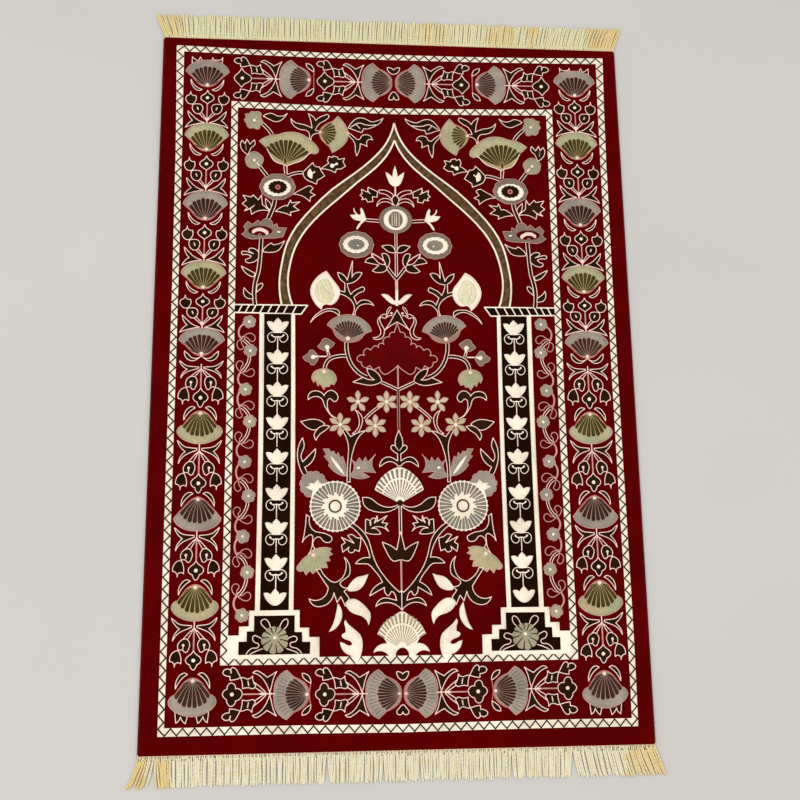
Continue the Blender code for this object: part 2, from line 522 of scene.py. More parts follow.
def bands(rug):
    """The wide border across both ends of the rug."""
    for pivot_x, y, rim_x, dot, rim_lines in ((-145, 522.5, -199, 3.0, 0), (-3, 521, -56, 0, 0),
                                              (-142.5, -510.5, -196.5, 2.6, 12),
                                              (-2, -512, -55, 2.2, 12)):
        fan(rug, Place(pivot_x, y, turn=90, tall=(pivot_x - rim_x) / 54), "grey", BAND_FAN,
            wedges=11, spread=50, reach=33, short=2, rib=1.1, pivot=3, dot=dot, curl=0.6,
            slivers=False, rim_lines=rim_lines)
    for x, y, path in ((-263, 522.5, TOP_FLOWER), (-120, 521, TOP_FLOWER),
                       (-260, -508.5, LOW_FLOWER), (-118, -511, LOW_FLOWER)):
        band_spray(rug, x, y, path)
    for y, bow in ((522.5, 0.0), (-510, -2.5)):
        rug.draw(f"""
        line 1.6 rose: {bow},0 {0.5 * bow},9 0,17
        form: 0,16! -0.5,22 -5.5,29 -13.5,31! -13,27 -7.5,20.5
        """, Place(-139.5, y), Place(-139.5, y, tall=-1))
    rug.draw("""
    half: 0,537.5 -5,539.5 -9.5,544 -11,550.5! -5,550 0,546!
    half: 0,504 -6,499 -9,490! -5,488.5 0,494.5!
    half: 0,-492 -5,-489.5 -8.5,-484 -9,-479! -4,-479.5 0,-482.5!
    half: 0,-528.5 -5,-533 -9,-541 -6,-543.5 0,-539!
    """)


# The two cream stripes round the rug: their outer and inner edges, bowed as woven, and for
# the top, the side and the foot how many strokes the zigzag has made at which place.
GUARDS = (
    ("0,575 -255,577.5 -377,581! -372.6,380 -371,-80 -370.5,-568.3! -255,-568 0,-569.5",
     "0,565 -255,567.4 -364,569.5! -362.1,380 -360.5,-80 -360.8,-556! -170,-555.9 0,-557.6",
     (((0, 0), (40, -363.5)),
      ((0, 569.5), (21, 373), (38, 209), (47, 125), (66.2, -39), (102, -367), (122, -557)),
      ((0, -360), (40, 0)))),
    ("0,472.7 -170,475.5 -280.5,478.5! -279,240 -277.6,-80 -279,-465! -170,-465.5 0,-467",
     "0,461.9 -170,464.7 -269.5,467! -268.3,240 -266.9,-80 -268,-454.5! 0,-455",
     (((0, 0), (30, -268.5)),
      ((0, 467), (17.5, 302), (39, 102), (53.9, -30), (75.2, -226), (100, -452)),
      ((0, -266), (30, 0)))),
)


def guard(rug, outer, inner, steps):
    """A cream stripe round the rug with one dark zigzag running through it."""
    outer, inner = smooth(read_path(outer)), smooth(read_path(inner))
    for edge, yarn in ((outer, "cream"), (inner, "ground")):
        rug.fill([(6.0, edge[0][1], True)] + edge + [(6.0, edge[-1][1], True)], yarn)

    def across(edge, axis, stretch, at):
        """Where the edge is on this stretch, at a place along it."""
        cuts = [0] + [i for i, p in enumerate(edge) if p[2]] + [len(edge)]
        run = sorted((p[axis], p[1 - axis]) for p in edge[cuts[stretch]:cuts[stretch + 1] + 1])
        return float(np.interp(at, *zip(*run)))

    zigzag = []
    for stretch, (axis, table) in enumerate(zip((0, 1, 0), steps)):
        for k in range(table[-1][0] + 1):
            along = float(np.interp(k, *zip(*table)))
            out, into = (across(edge, axis, stretch, along) for edge in (outer, inner))
            off = out + (into - out) * (0.94 if k % 2 else 0.06)
            zigzag.append((off, along, True) if axis else (along, off, True))
    rug.line(zigzag, ZIGZAG_WIDTH, "zigzag")


ARCH_OUTER = ("0,445 -14,407 -37,378 -68,350.5 -107,320 -142,284 -167.5,252 -182.4,223 "
              "-191.4,185 -194.9,157 -190.4,112")
ARCH_INNER = ("0,413 -9,392 -33,361 -65,333 -96,304 -125,277 -150.5,248 -169.5,214 "
              "-178.4,181 -181,160 -172.5,112")
# Where the middle of the column runs, as woven: y, x.
COLUMN_LINE = ((-350, -196), (-300, -195.2), (-130, -195.4), (-16, -196.3), (92, -196.7))


def arch_and_columns(rug):
    """The niche's arch, and the left column with its capital, shaft and stepped base."""
    outer, inner = read_path(ARCH_OUTER), read_path(ARCH_INNER)
    rug.fill(smooth(outer) + smooth(inner)[::-1], "sepia")
    rug.line(outer, 3.0, "cream")
    rug.line(inner, 3.0, "cream")
    # Capital: a dark bar with slanted cream hatches.
    rug.draw("form soot none: -268,100! -170,98! -159,98! -148,113.4! -268,113.4!")
    for x in (-262.5, -251, -240, -227, -214, -201, -188, -173):
        rug.draw(f"line 2 cream: {x},99! {x + 7},113!")
    rug.draw("""
    line 2.2 cream: -268,100! -170,98! -158.5,98! -148,113.3! -268,113.3!
    # Column shaft, with nine tulips each over a pair of scrolls.
    form cream none: -227,98! -225.6,-150 -227,-384! -167.3,-384! -166.5,-150 -168.6,98!
    form soot none: -219.4,98! -218,-150 -219.4,-384! -174.4,-384! -173.5,-150 -175,98!
    """)
    for tip in (91.5, 38.5, -16, -70, -127, -185, -239.7, -295.5, -349.5):
        middle = place_on(COLUMN_LINE, tip)
        rug.draw("half cream none: 0,0! -2.5,-2.7 -5.5,-5.8 -6.5,-9! -9,-7.3 -18,-7! -15.5,-14.5 "
                 "-10.5,-21 -4.5,-25.5 0,-26.5", Place(middle, tip))
        if tip < -340:
            break
        at = Place(middle, tip - 26)
        rug.draw("line 1.5 cream: 0,-6.5 0,-28.5", at)
        rug.draw("""
        line 1.2 cream: -4,0 -9,1 -13,-0.5 -16.5,-5.5 -15,-12.5 -9,-16 -5,-14 -3.5,-9.5 -4.5,-7
        line 1.7 cream: 0,-6.2 -7.5,-6.2 -9.5,-4.5
        disc 1.7 cream: -9.5,-4
        """, *at.both())
    rug.draw("""
    # Stepped base with its flower.
    form cream none: -236,-383! -236,-407! -251,-407! -251,-420.5! -268,-420.5! -268,-456! -126.5,-456!
      -126.5,-424.5! -142.5,-424.5! -142.5,-410! -157.5,-410! -157.5,-383!
    form soot none: -228,-391! -228,-414.5! -239,-414.5! -239,-430! -251.5,-430! -251.5,-450! -141,-450!
      -140.5,-431.5! -153,-431.5! -153.5,-416.5! -165,-416.5! -165,-391!
    line 1.4: -202,-413 -204,-404 -209,-397 -215,-397 -217.5,-401 -214,-407 -208,-412
    line 1.4: -189,-412 -187,-405 -182,-398 -177,-396.6 -175.4,-401 -177,-407 -182,-412
    line 1.4: -216,-426 -221,-423 -229,-422 -230,-425 -227,-431 -220,-435 -221,-438.5 -230,-440
      -236,-444 -239.5,-449.5
    line 1.4: -214,-441 -222,-443.6 -230,-447 -234,-449.5
    line 1.4: -176,-427 -171,-424 -163,-423.5 -161,-427 -164,-431 -172,-434 -171,-438 -162,-441
      -156,-446 -153.5,-450
    line 1.4: -178,-441 -170,-444 -162,-447 -158,-450
    """)
    daisy(rug, -195.6, -424.5, 21, 11, "moss", "shade_sage", inner=0.3, thin=0.6, thick=1.2,
          droop=0.18)


def vine(rug):
    """The climbing vine in the strip beside the column."""
    first = ((-243.5, 84, "grey"), (-248, -30, "moss"), (-247, -149, "grey"), (-248, -268, "grey"),
             (-247, -390, "moss"))
    second = ((-241, 35, "grey"), (-240, -83, "moss"), (-240, -204, "grey"), (-240, -324, "moss"))
    for (x, y, _), (low_x, low_y, _), (next_x, next_y, _) in zip(first, second, first[1:]):
        rug.line([(x - 9, y - 4), (-260.5, y - 15), (-256, y - 29.5)], 3.0, "blush")
        rug.draw("""
        form none blush 1.4: 2,1! 7,7.5 13,10 20,7.5 22.7,1 20.5,-3 17,-4.2 13.5,-2! 10,2 6,3.4 1,2
        form none blush 1.4: 0,-1! -5.5,-4 -7,-10 -4.5,-16 -1,-18 3,-16 3.8,-12.5! 0.5,-7 0,-3
        """, Place(-256, y - 29.5))
        rug.stem([(-253, y - 30), (-245.5, y - 37), (low_x - 1, low_y + 8)], 5.2, "ground")
        rug.stem([(low_x - 1, low_y - 8), (low_x - 3, low_y - 20), (-254.5, low_y - 36)], 5.2,
                 "ground")
        rug.draw("""
        form none blush 1.4: -1,0.5! -6.5,6 -8,12.5 -5,17.5 -1,18.4 2.8,15.5 2.8,11.5! 0,8 0,3
        form none blush 1.4: 1,-0.5! 8,-6 14.5,-8 20.5,-5 21.5,1 18.5,5 13,4! 10,1 6,0 2,-0.5
        """, Place(-255.5, low_y - 36))
        rug.line([(-255.5, low_y - 36), (-260, low_y - 45), (-259, low_y - 54),
                  (next_x - 5, next_y + 5)], 3.0, "blush")
    for x, y, yarn in first + second:
        flower(rug, x, y, 10.6, 6, yarn, "blush", depth=0.19, dot=0.25, turn=17)


def blossom(rug, at):
    """A toothed dark flower with a cream heart, open to +x from its base."""
    rug.draw("""
    form: 0,0! 7,9 16,19! 21,12 27,12! 30,6! 37,-4! 32,-8! 25,-13! 24,-20! 16,-17 5,-12
    form cream none: 11.5,8! 7.5,0 8.5,-6 16,-10.5! 16.5,-2
    line 2.2 cream: 16,-1 20.5,3
    """, at)


def spandrel(rug):
    """The leaf and flower tree beside the arch."""
    rug.draw("""
    stem 6.2: -230,440 -219,430 -210,418
    form moss blush 0.9: -257,455! -249,456.5! -246.5,460 -241,459! -235,460.3 -229.5,457 -231,451!
      -227.5,444 -227,438 -232,434.5! -232,429 -238,427.5! -243,429.5 -248,428.5! -253,432.5 -254.5,439!
      -258,442.5 -255,448.5!
    disc 2.8 cream: -241,444
    form: -226,452! -219,456.5 -211,457.5 -203,453.3 -196,452.5 -185,457.8! -189,451.5 -197,444 -205,442
      -214,445.5
    stem 6.2: -234,363 -227,354 -218,342
    """)
    flower(rug, -240, 370, 15.8, 5, "moss", "blush", dot=0.18, depth=0.08, turn=15)
    rug.draw("""
    line 2.2 cream: -236,366 -231,360
    form: -251,380! -260,387 -264,397 -261.5,406! -256,400! -253,408! -247.5,399! -241,407.5! -239,400
      -246,392 -249,384
    line 1.6 rose: -255,399 -254,388
    # The dark bough between the two fans and its leaves.
    form: -147,413! -151,427 -161,428.5 -172,434 -178.5,448.5! -170,441 -156,438 -142,432! -144,444
      -148.5,458.5! -141,454 -135.5,446! -124,455 -113,455.5 -118,448 -130,440 -136.5,427.5! -128,426.5!
      -128,421.5! -137,421.5 -144,410!
    """)
    big_fan(rug)
    rug.draw("""
    line 1.5: -190,361 -188,346
    line 1.5: -184.5,361 -184,346
    """)
    fan(rug, Place(-130, 425, turn=-98), "sage", TREE_FAN, dot=2.4, reach=27.5, short=2, pivot=2,
        spread=54, rib=1.6, curl=0.2, slivers=False)
    rug.draw("""
    form: -79.6,433.6! -72,446 -64,452.4 -54,453 -46,449.5 -40,446.5 -28,449 -19,453.5! -24,445 -34,438
      -46,433 -53,433! -56,425.6! -64,428 -74,432
    line 1.5: -76,435 -68,440.5 -62,443.5 -48,440 -31,441
    line 1.4: -66,441 -59,433
    form: -80.5,426! -72,419.5 -64,412.3! -59,414 -57,419 -50,422 -42,420 -38,412.4! -46,412 -48,407
      -47,400! -52,402.5 -59,405! -60,395 -65.5,382! -67.5,392 -68,404 -72,412 -79,420
    stem 6: -183,343 -170,348 -157,349.5
    """)
    blossom(rug, Place(-157, 350, turn=-3))
    rug.draw("""
    form: -127,357! -118,364 -113,367.5! -115.5,372! -113,380! -107,378! -105.5,381! -98,379! -97,375!
      -86,377! -89,370.5! -84.5,363! -92,357.3! -100,357! -102,350.3! -112,355
    disc 3.9 cream: -107.4,363
    disc 2.4 cream: -99.5,366.7
    line 2.6 cream: -106,363.5 -99.5,366.7
    form: -173,310! -157,320 -144,325 -140,321! -145,314! -136,309! -144,305! -145,297! -159,307
    # The two jagged leaves and the stem from the ring rosette down to the eyed palmette.
    form: -203,278! -195,285 -187,289! -183,288! -178,299! -176,294! -162,296! -173,288! -163,281!
      -178,277! -177,271! -189,276
    form: -210,277! -224,280 -243,272! -245,282! -255,278! -250,284! -259,291! -252,297! -258,306!
      -244,303! -241,307! -232,298! -227,307! -225,290!
    line 1.6: -255,279 -245,283 -238,289
    """)
    leaf(rug, (-210, 279), (-220, 301), 8)
    rug.draw("stem 7.2: -204,302 -206,288 -211,275 -217,260")
    flower(rug, -200, 322.5, 24, 10, "taupe", "blush", depth=0.05, wide=1.27)
    flower(rug, -200.5, 321, 16, 14, "cream", depth=0.06, wide=1.5)
    flower(rug, -199.7, 322, 11.8, 13, "umber", depth=0.12, wide=1.38)
    # Painted highlight: the small cream dot here stands for a white glint.
    rug.draw("""
    disc 4.7 rose: -199.5,322
    disc 2 ruby: -199.5,322
    stem 7: -226,230 -227.5,200 -230,172 -235,152 -236.5,135 -234.5,113
    form taupe blush 1: -259,237! -253,244 -256,250! -249,259! -241,254! -232,262! -227,256! -217,265
      -208,252! -200,256! -199,249! -184,249! -190,233! -206,230 -226,230 -242,228
    disc 8.6 ruby 2.4: -228,243
    form outline none: -242,240 -238,246 -229,248.7 -220,246 -214,239.5 -215.5,236 -221,240 -228,242.3
      -236,241 -239.5,238
    disc 3.2 taupe: -229,235.5
    disc 1.7 cream 1.9: -197,241.5
    form: -230,205! -236,210.5 -243,212 -247,209.5 -244,205.5 -238.5,202.5! -246,204.5 -253,206.5
      -258.5,205 -258,201.5 -250,201 -242,198! -246,194 -252,190.5 -250,187 -243,186.3 -236,189
      -230,194.5!
    form: -222.5,210! -216,217 -209.5,221.8! -206,218.4! -198,220 -187,225.8! -190,220 -197,209 -211,205
      -222.5,206!
    form: -258.5,180! -250,176 -235,167.5! -237.5,161.5! -247,165 -254,172
    form: -239,130! -247,135.5 -253,142.7! -254,136 -252,128 -246,124 -238,124!
    form: -232.5,144! -227.5,149.5 -223,150.3 -222.5,146.5 -227,140 -232.5,135!
    """)


def big_fan(rug):
    """The large sage fan beside the arch, wider to its right than to its left."""
    rim = ("-219,392! -232.5,405.5! -222,413 -210,417.5 -200,418.5 -191,422 -178,423.7 -166,422.5 "
           "-154,417 -144,409 -134,399 -130.5,391 -133,385.5 -143,386!")
    left = read_path("-185.5,360.5 -192,364 -202,367 -208,372 -214,382 -219,392!")
    right = read_path("-143,386! -148,383.5 -154,376 -162,370 -172,366.5 -180,363 -185.5,360.5")
    rug.form(left[:-1] + read_path(rim) + right[1:-1], "sage", "blush", 1.0)
    ribs(rug, Place(-187, 364, turn=-6), "sage", smooth(left), smooth(right), wedges=10,
         spread=62, reach=42, short=-2, rib=1.8, pivot=3, curl=0.1, slivers=False)
    for hem in (left, right):
        rug.line(hem, 1.5, "outline")
    rug.draw("form shade_sage rib_sage 0.8: -187.5,363.5! -190.5,370 -187.5,377! -184.5,370")


def niche_top(rug):
    """Under the arch: the tulip, the ring flowers, their stalk and the cream bud."""
    rug.draw("""
    half cream none: 0,366! -3,356 -4.5,345! -10,350 -16,354! -13,341 -6,329 0,327
    line 2.4: 0,328 0,310
    form none: -3,311! -14,319 -28,320! -27,314.5! -14,311 -6,304!
    form none: -5,300! -12,304.5 -23,304 -31.5,290.5! -22,298.5 -4,293!
    form: -30,317! -46,325! -47,316! -57.5,321! -56,313! -60,310! -55,306! -57,302! -50,304! -47,298!
      -38,299.5! -39,308! -31,307!
    line 1.5: -46,324 -45,316 -42,313
    half umber outline 1.4: 0,311! -4,308 -6,303 -4,296 0,291!
    stem 6.2 ground: -50,265.5 -28,264
    disc 25 taupe 1.13: 0,267
    disc 19 cream 1.08: 0,267
    disc 15 taupe 0.8: 0,267
    line 0.9 cream: -6,256 -6,279
    line 0.9 cream: -1.5,256 -1.5,279
    form cream none: -49,266! -51,272 -54,282 -58,288! -59.7,283.5 -58.5,278 -60.5,274.3! -64.5,276.5
      -68,280.5 -69.8,287.2! -71,285.5 -70.3,280 -66,275.3! -71,274.6 -77,274.2! -74,269.5 -71,266.5
      -65,264.2 -58,263.6! -62,258.5 -65.3,253.5 -66.3,247.8! -63.8,249 -59,256.5 -51.5,263.6!
    """)
    flower(rug, -66.3, 221, 24, 12, "taupe", "blush", depth=0.04, wide=1.22)
    flower(rug, -67.3, 221.5, 16, 14, "cream", depth=0.07, wide=1.4)
    flower(rug, -66.6, 221.5, 10, 14, "ash", depth=0.2, wide=1.45)
    rug.draw("""
    line 1.8 cream: -66,220.5 -62,219
    # The stalk below the ring rosette.
    stem 4.8 ground 1.2: 0,243 0,160
    """)
    leaf(rug, (-1, 208), (-24, 219), 12, bend=-2)
    rug.draw("""
    stem 6: 0,161 -8,171 -15,181
    form: -15,181! -11,190 -12,199 -18,206 -24,205! -22,197 -18,188! -25,186 -32,189 -41,206! -38,198
      -33,187
    form: -18,186! -28,188 -41,199 -52,190! -38,187 -29,185! -40,175! -28,172 -16,179
    line 1.7: -40,206 -30,200 -20,192
    stem 4.2 blush: 0,160 0,143
    line 4.6 cream: 0,143 0,114
    half cream none: 0,116! -8,117 -18,125 -26,134! -14,133 -5,124 0,121!
    # The cream bud on its bough.
    form: -96,140! -86,137! -86,153! -97,166 -98,171.5! -88,167 -82,158! -73,192! -74,163! -60,172
      -57,171! -63,161 -72,154 -82,152! -80,142 -76,133! -62,144 -54,145.5 -53,142 -62,136 -71,129!
      -66,116! -58,123 -48,123 -38,114! -50,117 -62,113 -69,98! -73,98! -71,115 -80,127 -96,134!
    form cream outline 1.5: -117,173! -134,160 -143,140 -137,120 -125,107! -121,115 -108,115 -97,127
      -95,141 -104,155
    form pale_sage none: -118,160 -131,153 -135,138 -127,120 -114,117 -105,127 -106,143
    line 1.6 cream: -128,154 -128,136 -122,120
    line 1.6 cream: -121,158 -119,146 -108,137
    """)


def niche_middle(rug):
    """The grey fan with its boughs, and the medallion with what hangs under it."""
    rug.draw("""
    # The grey fan, its boughs and the pendant flower.
    form: -96,96! -112,104 -126,99 -143,84! -128,102 -112,108 -95,99
    stem 6.6: -83,54 -82,30 -75,12 -64,-1 -50,-9
    stem 6.2: -84,27 -100,26 -112,21 -119,3
    stem 4.6: -112,26 -115,36
    line 2.4: -116,26 -134,26
    """)
    fan(rug, Place(-82, 50.5, turn=-7.7), "grey", ROUND_FAN, wedges=12, spread=62, reach=30,
        rib=1.4, pivot=6.5, dot=3.6, curl=0.1, slivers=False)
    rug.draw("""
    form taupe blush 1: -131,43! -125,50! -121,56 -113,55! -103,48.5! -110,40 -117,36 -125,38
    disc 4 cream: -115.5,42
    form taupe blush 1: -155,25! -146,31! -140,37 -135,32! -130,25 -133,16 -140,11 -144,17! -150,18
    disc 4 cream: -138.5,25
    line 3.4 cream: -115,42 -114,34
    line 3.4 cream: -138,25 -131,26
    form sage blush 1.2: -100,-14! -104,-2 -113,4 -127,4.5 -137,-1 -140.5,-12! -137,-18! -134.5,-13!
      -130,-24! -127.5,-19! -120.5,-30! -118,-25! -112,-25! -109.5,-20! -104,-22! -101.5,-17!
    disc 3.4 outline: -120.5,0
    # The medallion.
    half ruby blush 1.5: 0,84! -5,68! -12,66 -13,60! -21,58 -22,47! -28,49 -31,42! -36,45 -41,41 -44,37!
      -50,40 -54,37 -54,28! -62,28 -66,24 -59,17! -57,10 -51,7! -45,11! -40,3! -30,8.5! -27,0 -21,-4 -13,0
      0,11!
    half: 0,107! -5,98 -10,88 -20,72! -10,80 0,86!
    line 1.1: -9,112.5 -14.2,109.7 -16.5,105 -17.5,99.4 -18.9,95.2
    line 1.1: -9,111 -12.3,106 -16,99 -17.5,94.8
    disc 2.2 outline: -9,101
    line: -40,58.8 -32,60 -27.8,64 -26.8,69.5 -30,79 -32,88 -29,94 -22.6,99 -19,100
    line: -39,57 -33,55.5 -24.5,59 -21.7,65 -21.2,73 -25.4,80.7 -28.2,89 -27.3,93.4 -19.8,92 -13.3,96.6
      -7.7,97
    line 2.4 blush: 0,12 0,-30
    # The leaf pair under it.
    form: -26,-16! -30,-5 -50,6! -47,-4 -38,-13! -46,-13 -56,-9! -73,-17! -60,-20 -44,-22.5
    stem 5.2: -27,-17 -12,-24 0,-30
    line 4.4 blush: 0,-31 0,-99
    line 2.4 rust: 0,-31 0,-99
    """)


def niche_flowers(rug):
    """The star flowers, the leaves round them and the daisy."""
    rug.draw("""
    stem 5 ground: -30,-58 -42,-67 -54,-79
    form none: -74,-103! -63,-88 -64,-75 -69,-64! -58,-76 -60,-92 -67,-104!
    form: -90,-98! -81,-120 -82,-150 -83,-182! -78,-182! -77,-150 -71,-124 -62,-106 -52,-98! -64,-101
      -70,-104! -77,-108! -86,-96!
    """)
    leaf(rug, (-119, -87), (-158, -83), 18, bend=3)
    rug.draw("""
    form: -111,-91! -122,-90 -133,-98 -136,-105 -133,-114! -127,-104 -117,-97
    form: -99,-78! -115,-55 -112,-45 -102,-50 -98,-46 -101,-35 -109,-31 -116,-34 -120,-40! -134,-32
      -144,-36 -146,-47! -138,-42 -125,-44 -119,-58 -108,-74!
    """)
    for x, y, radius, petals in ((-65, -50, 18.8, 5), (-19, -50, 18.3, 6), (-94, -88, 19.5, 6),
                                 (-37, -90, 18.8, 6)):
        star_flower(rug, x, y, radius, petals)
    rug.draw("""
    # The forked leaf beside the column.
    form: -151,-174! -161,-152 -163,-136 -155,-110! -152,-122 -157,-142 -154,-149! -134,-128! -137,-145
      -151,-158! -146,-168!
    # The grey serrated leaf and the grey maple leaf.
    form grey blush 0.9: -84,-173! -98,-169 -109,-160 -113,-155! -111,-151! -120,-140! -116,-138!
      -121.5,-128! -112,-128! -110,-133! -104,-132! -101,-139! -97,-134! -94,-143! -90,-140! -86,-152
    form cream none: -86,-172! -100,-158 -111,-138! -97.5,-152
    form grey blush 0.9: -80,-172! -72,-161 -75,-146! -69,-151! -63,-142.5! -58,-150! -53,-141.5!
      -50,-150! -37,-137! -43,-153 -37,-167! -60,-165! -47,-174! -60,-177
    disc 2.2 cream 1.4: -64.5,-159
    # The middle stem with a closed leaf and a curled one.
    half: 0,-98! -2.5,-103.5 -5,-110 -6.2,-117 -6,-123.5! -9.7,-122 -13.3,-125.8 -9.5,-131.5 -2.6,-136!
      -2.6,-148! -7,-145 -15,-141.5 -22,-142.4 -29,-149 -31,-157.4! -24.5,-152.7 -17,-149 -9.7,-150
      -2,-156.4! 0,-156!
    line 1.1: -6,-123.5 -0.8,-131
    """)
    # The daisy over a grey flower with a white star.
    flower(rug, -137, -186, 22, 11, "grey", "blush", depth=0.10, turn=10, line=1.0)
    rug.draw("""
    form cream none: -150,-190! -141,-187! -146,-184! -136,-184! -130,-178! -126,-184! -112,-186!
      -125,-205 -140,-206! -138,-196!
    """)
    daisy(rug, -102, -221, 41.5, 34, "cream", "ash", inner=0.42, thin=1.4, thick=2.75, dot=10.8,
          dot_yarn="rust")
    rug.draw("disc 8.2 cream: -102,-221")
    pleated(rug, "0,-217! -39,-195! -35,-185 -21,-168 -10,-161 0,-158", (0, -217), 60, 14, 57)


def niche_foot(rug):
    """Below the daisy: boughs, leaves and the fan at the foot of the niche."""
    rug.draw("""
    # A fork, and a half daisy on a curved stem.
    form: -148,-234! -149,-250 -154,-278! -147,-269 -140,-266 -138,-276 -145,-298! -134,-288! -134,-272
      -129,-269.5 -118,-278 -109,-277 -107,-272 -114,-266 -139,-257 -143,-238!
    form sage blush 1.1: -134,-289! -121,-286 -108,-288! -111,-293! -106,-297! -113,-300! -110,-307!
      -117,-308! -114,-318! -124,-318! -131,-322! -137,-327! -142,-322! -148,-329! -152,-322! -161,-322
      -157,-309 -144,-298!
    """)
    for angle in (-15, -32, -50, -68, -86, -104, -120):
        cos, sin = math.cos(math.radians(angle)), math.sin(math.radians(angle))
        rug.line([(-136 + r * cos, -298 + r * sin) for r in (8, 22)], 0.7, "rib_sage")
    rug.draw("""
    disc 3.6 outline: -136.5,-298
    # The middle stem with its leaf pair and its crown tulip.
    stem 5: 0,-218 0,-268
    form: -1,-217.5! -20,-223 -32,-219 -47,-208 -58,-207! -54,-222 -38,-230 -18,-230 -2,-221!
    half umber none: 0,-211! -4.8,-217 0,-221!
    half: 0,-262! -2,-270 -4,-280 -6.5,-291! -16,-284 -28,-278.5! -26,-285 -21,-296 -18,-302 -12,-308.5
      0,-306.5
    line 2.8 blush: 0,-306 0,-353
    line 1.4: 0,-353 0,-386
    # Two jagged leaves, and the long bough to the daisy with the leaves round its root.
    form: -54,-263! -53.5,-242.5! -50,-242.5 -46,-252! -44.5,-242 -41.5,-240 -40,-248! -35.5,-236.5!
      -35,-245.5! -20.5,-236.5! -28.5,-247.5! -19.5,-249! -23.5,-253.5! -18.5,-261.5! -34,-253.8
      -44.5,-256.5! -33,-260.5 -30.5,-265.5! -42,-266
    form: -61,-272! -68,-271 -76,-266 -82,-268! -72,-280! -92,-270.5! -86,-279! -92,-283! -90,-294!
      -80,-286! -77,-295 -71,-290! -64,-293! -62,-283
    form: -79,-252! -62,-268 -47,-303! -62,-305 -70,-312! -62,-312.5 -50,-313 -40.5,-323 -31.5,-335
      -28.6,-341.5! -36,-345.5 -43,-352 -47.8,-362.5! -36,-355.5 -25.7,-349.5! -25.5,-356 -23,-360.5
      -20,-362.5 -17.5,-360 -15.5,-356 -11.5,-358.5 -9,-364 -7.8,-370! -15,-368 -27,-366 -33.5,-369.5
      -38.8,-379! -31,-374.5 -19,-373.3 -9.5,-376.5 0,-385! 0,-355! -3,-357.5! -14,-347 -24,-334.5
      -35,-318 -40,-307 -54,-266 -74,-248!
    # The star bough and its cream leaves.
    form: -132,-321! -113,-349! -118,-362 -143,-366! -134,-377 -120,-377 -104,-357! -99,-372! -93,-363!
      -86,-378! -80,-366! -88,-355! -80,-349! -91,-348 -79,-328 -80,-312 -87.5,-302! -86,-325 -94,-337
      -104,-341 -113,-336 -125,-320!
    form cream none: -49.5,-328.5! -57,-331 -67,-333 -76,-340 -82,-349! -82,-354.5! -71,-355 -63,-352
      -56,-344 -52,-335
    form cream none: -86,-373.5! -80.5,-368 -72,-366.8 -63,-371 -53.5,-380 -47,-389 -47,-398 -50,-408!
      -53.5,-399.5 -60,-394 -72,-390 -81,-384
    form cream none: -98,-373! -91.5,-385 -91.5,-396 -96,-406 -104,-414 -112,-417! -105,-404 -101,-390
    """)
    # The bottom fan and the flame leaf.
    pleated(rug, "0,-387 -12,-393.5 -27,-405 -37,-422! -26,-430 -23,-436! -37,-440 -43,-450! "
            "-31,-447.5 -19,-457! -10,-457! -7,-446 0,-442.5", (0, -445), 60, 16, 56, 0.68,
            "rib_sage", 0.45, 0.5)
    rug.draw("""
    form cream none: -86,-399! -81,-406 -70,-415 -62.5,-422.5 -59.5,-432 -60,-446 -63,-456 -70,-466.5!
      -76.5,-454! -90,-445.5 -94.5,-432.5! -88,-434.5 -80,-438.5 -76,-437 -76.5,-433.5 -84,-429.5
      -91,-425.5 -91.5,-421! -85.5,-418! -86,-411 -88,-403
    """)


def draw_pattern():
    """The whole pattern, from the outside inwards, since a later shape covers an earlier one."""
    rug = Pattern()
    rug.add([(-PILE_HALF_WIDTH, -PILE_HALF_LENGTH), (0, -PILE_HALF_LENGTH),
             (0, PILE_HALF_LENGTH), (-PILE_HALF_WIDTH, PILE_HALF_LENGTH)], "ground")
    guard(rug, *GUARDS[0])
    side_border(rug)
    bands(rug)
    guard(rug, *GUARDS[1])
    for part in (arch_and_columns, vine, spandrel, niche_top, niche_middle, niche_flowers,
                 niche_foot):
        part(rug)
    return rug


# ---------------------------------------------------------------------------------------
# From the drawing to pile

# How far the right half is woven to the right of a true mirror image, as y and shift. The
# shift sets in between the first two x and fades out between the last two.
WOVEN_SHIFT = ((-595, 2.2), (-500, 3.1), (-430, 3.4), (-340, 3.1), (-190, 2.1), (-40, 1.5),
               (110, 1.2), (335, 0.7), (485, 0.0), (595, 0.3))
SHIFT_FROM, SHIFT_TO, FADE_FROM, FADE_TO = -60.0, 10.0, 373.0, 396.0
# The border round the rug in the map for baking, and how far outside its top a side's foot is.
MAP_MARGIN, MAP_STEP = 5.0, 0.7


def as_woven(flat):
    """Moves points sideways by the woven shift."""
    share = np.clip((flat[:, 0] - SHIFT_FROM) / (SHIFT_TO - SHIFT_FROM), 0.0, 1.0)
    fade = np.clip((FADE_TO - flat[:, 0]) / (FADE_TO - FADE_FROM), 0.0, 1.0)
    shift = np.interp(flat[:, 1], *zip(*WOVEN_SHIFT))
    flat[:, 0] += shift * share * share * (3.0 - 2.0 * share) * fade
    return flat


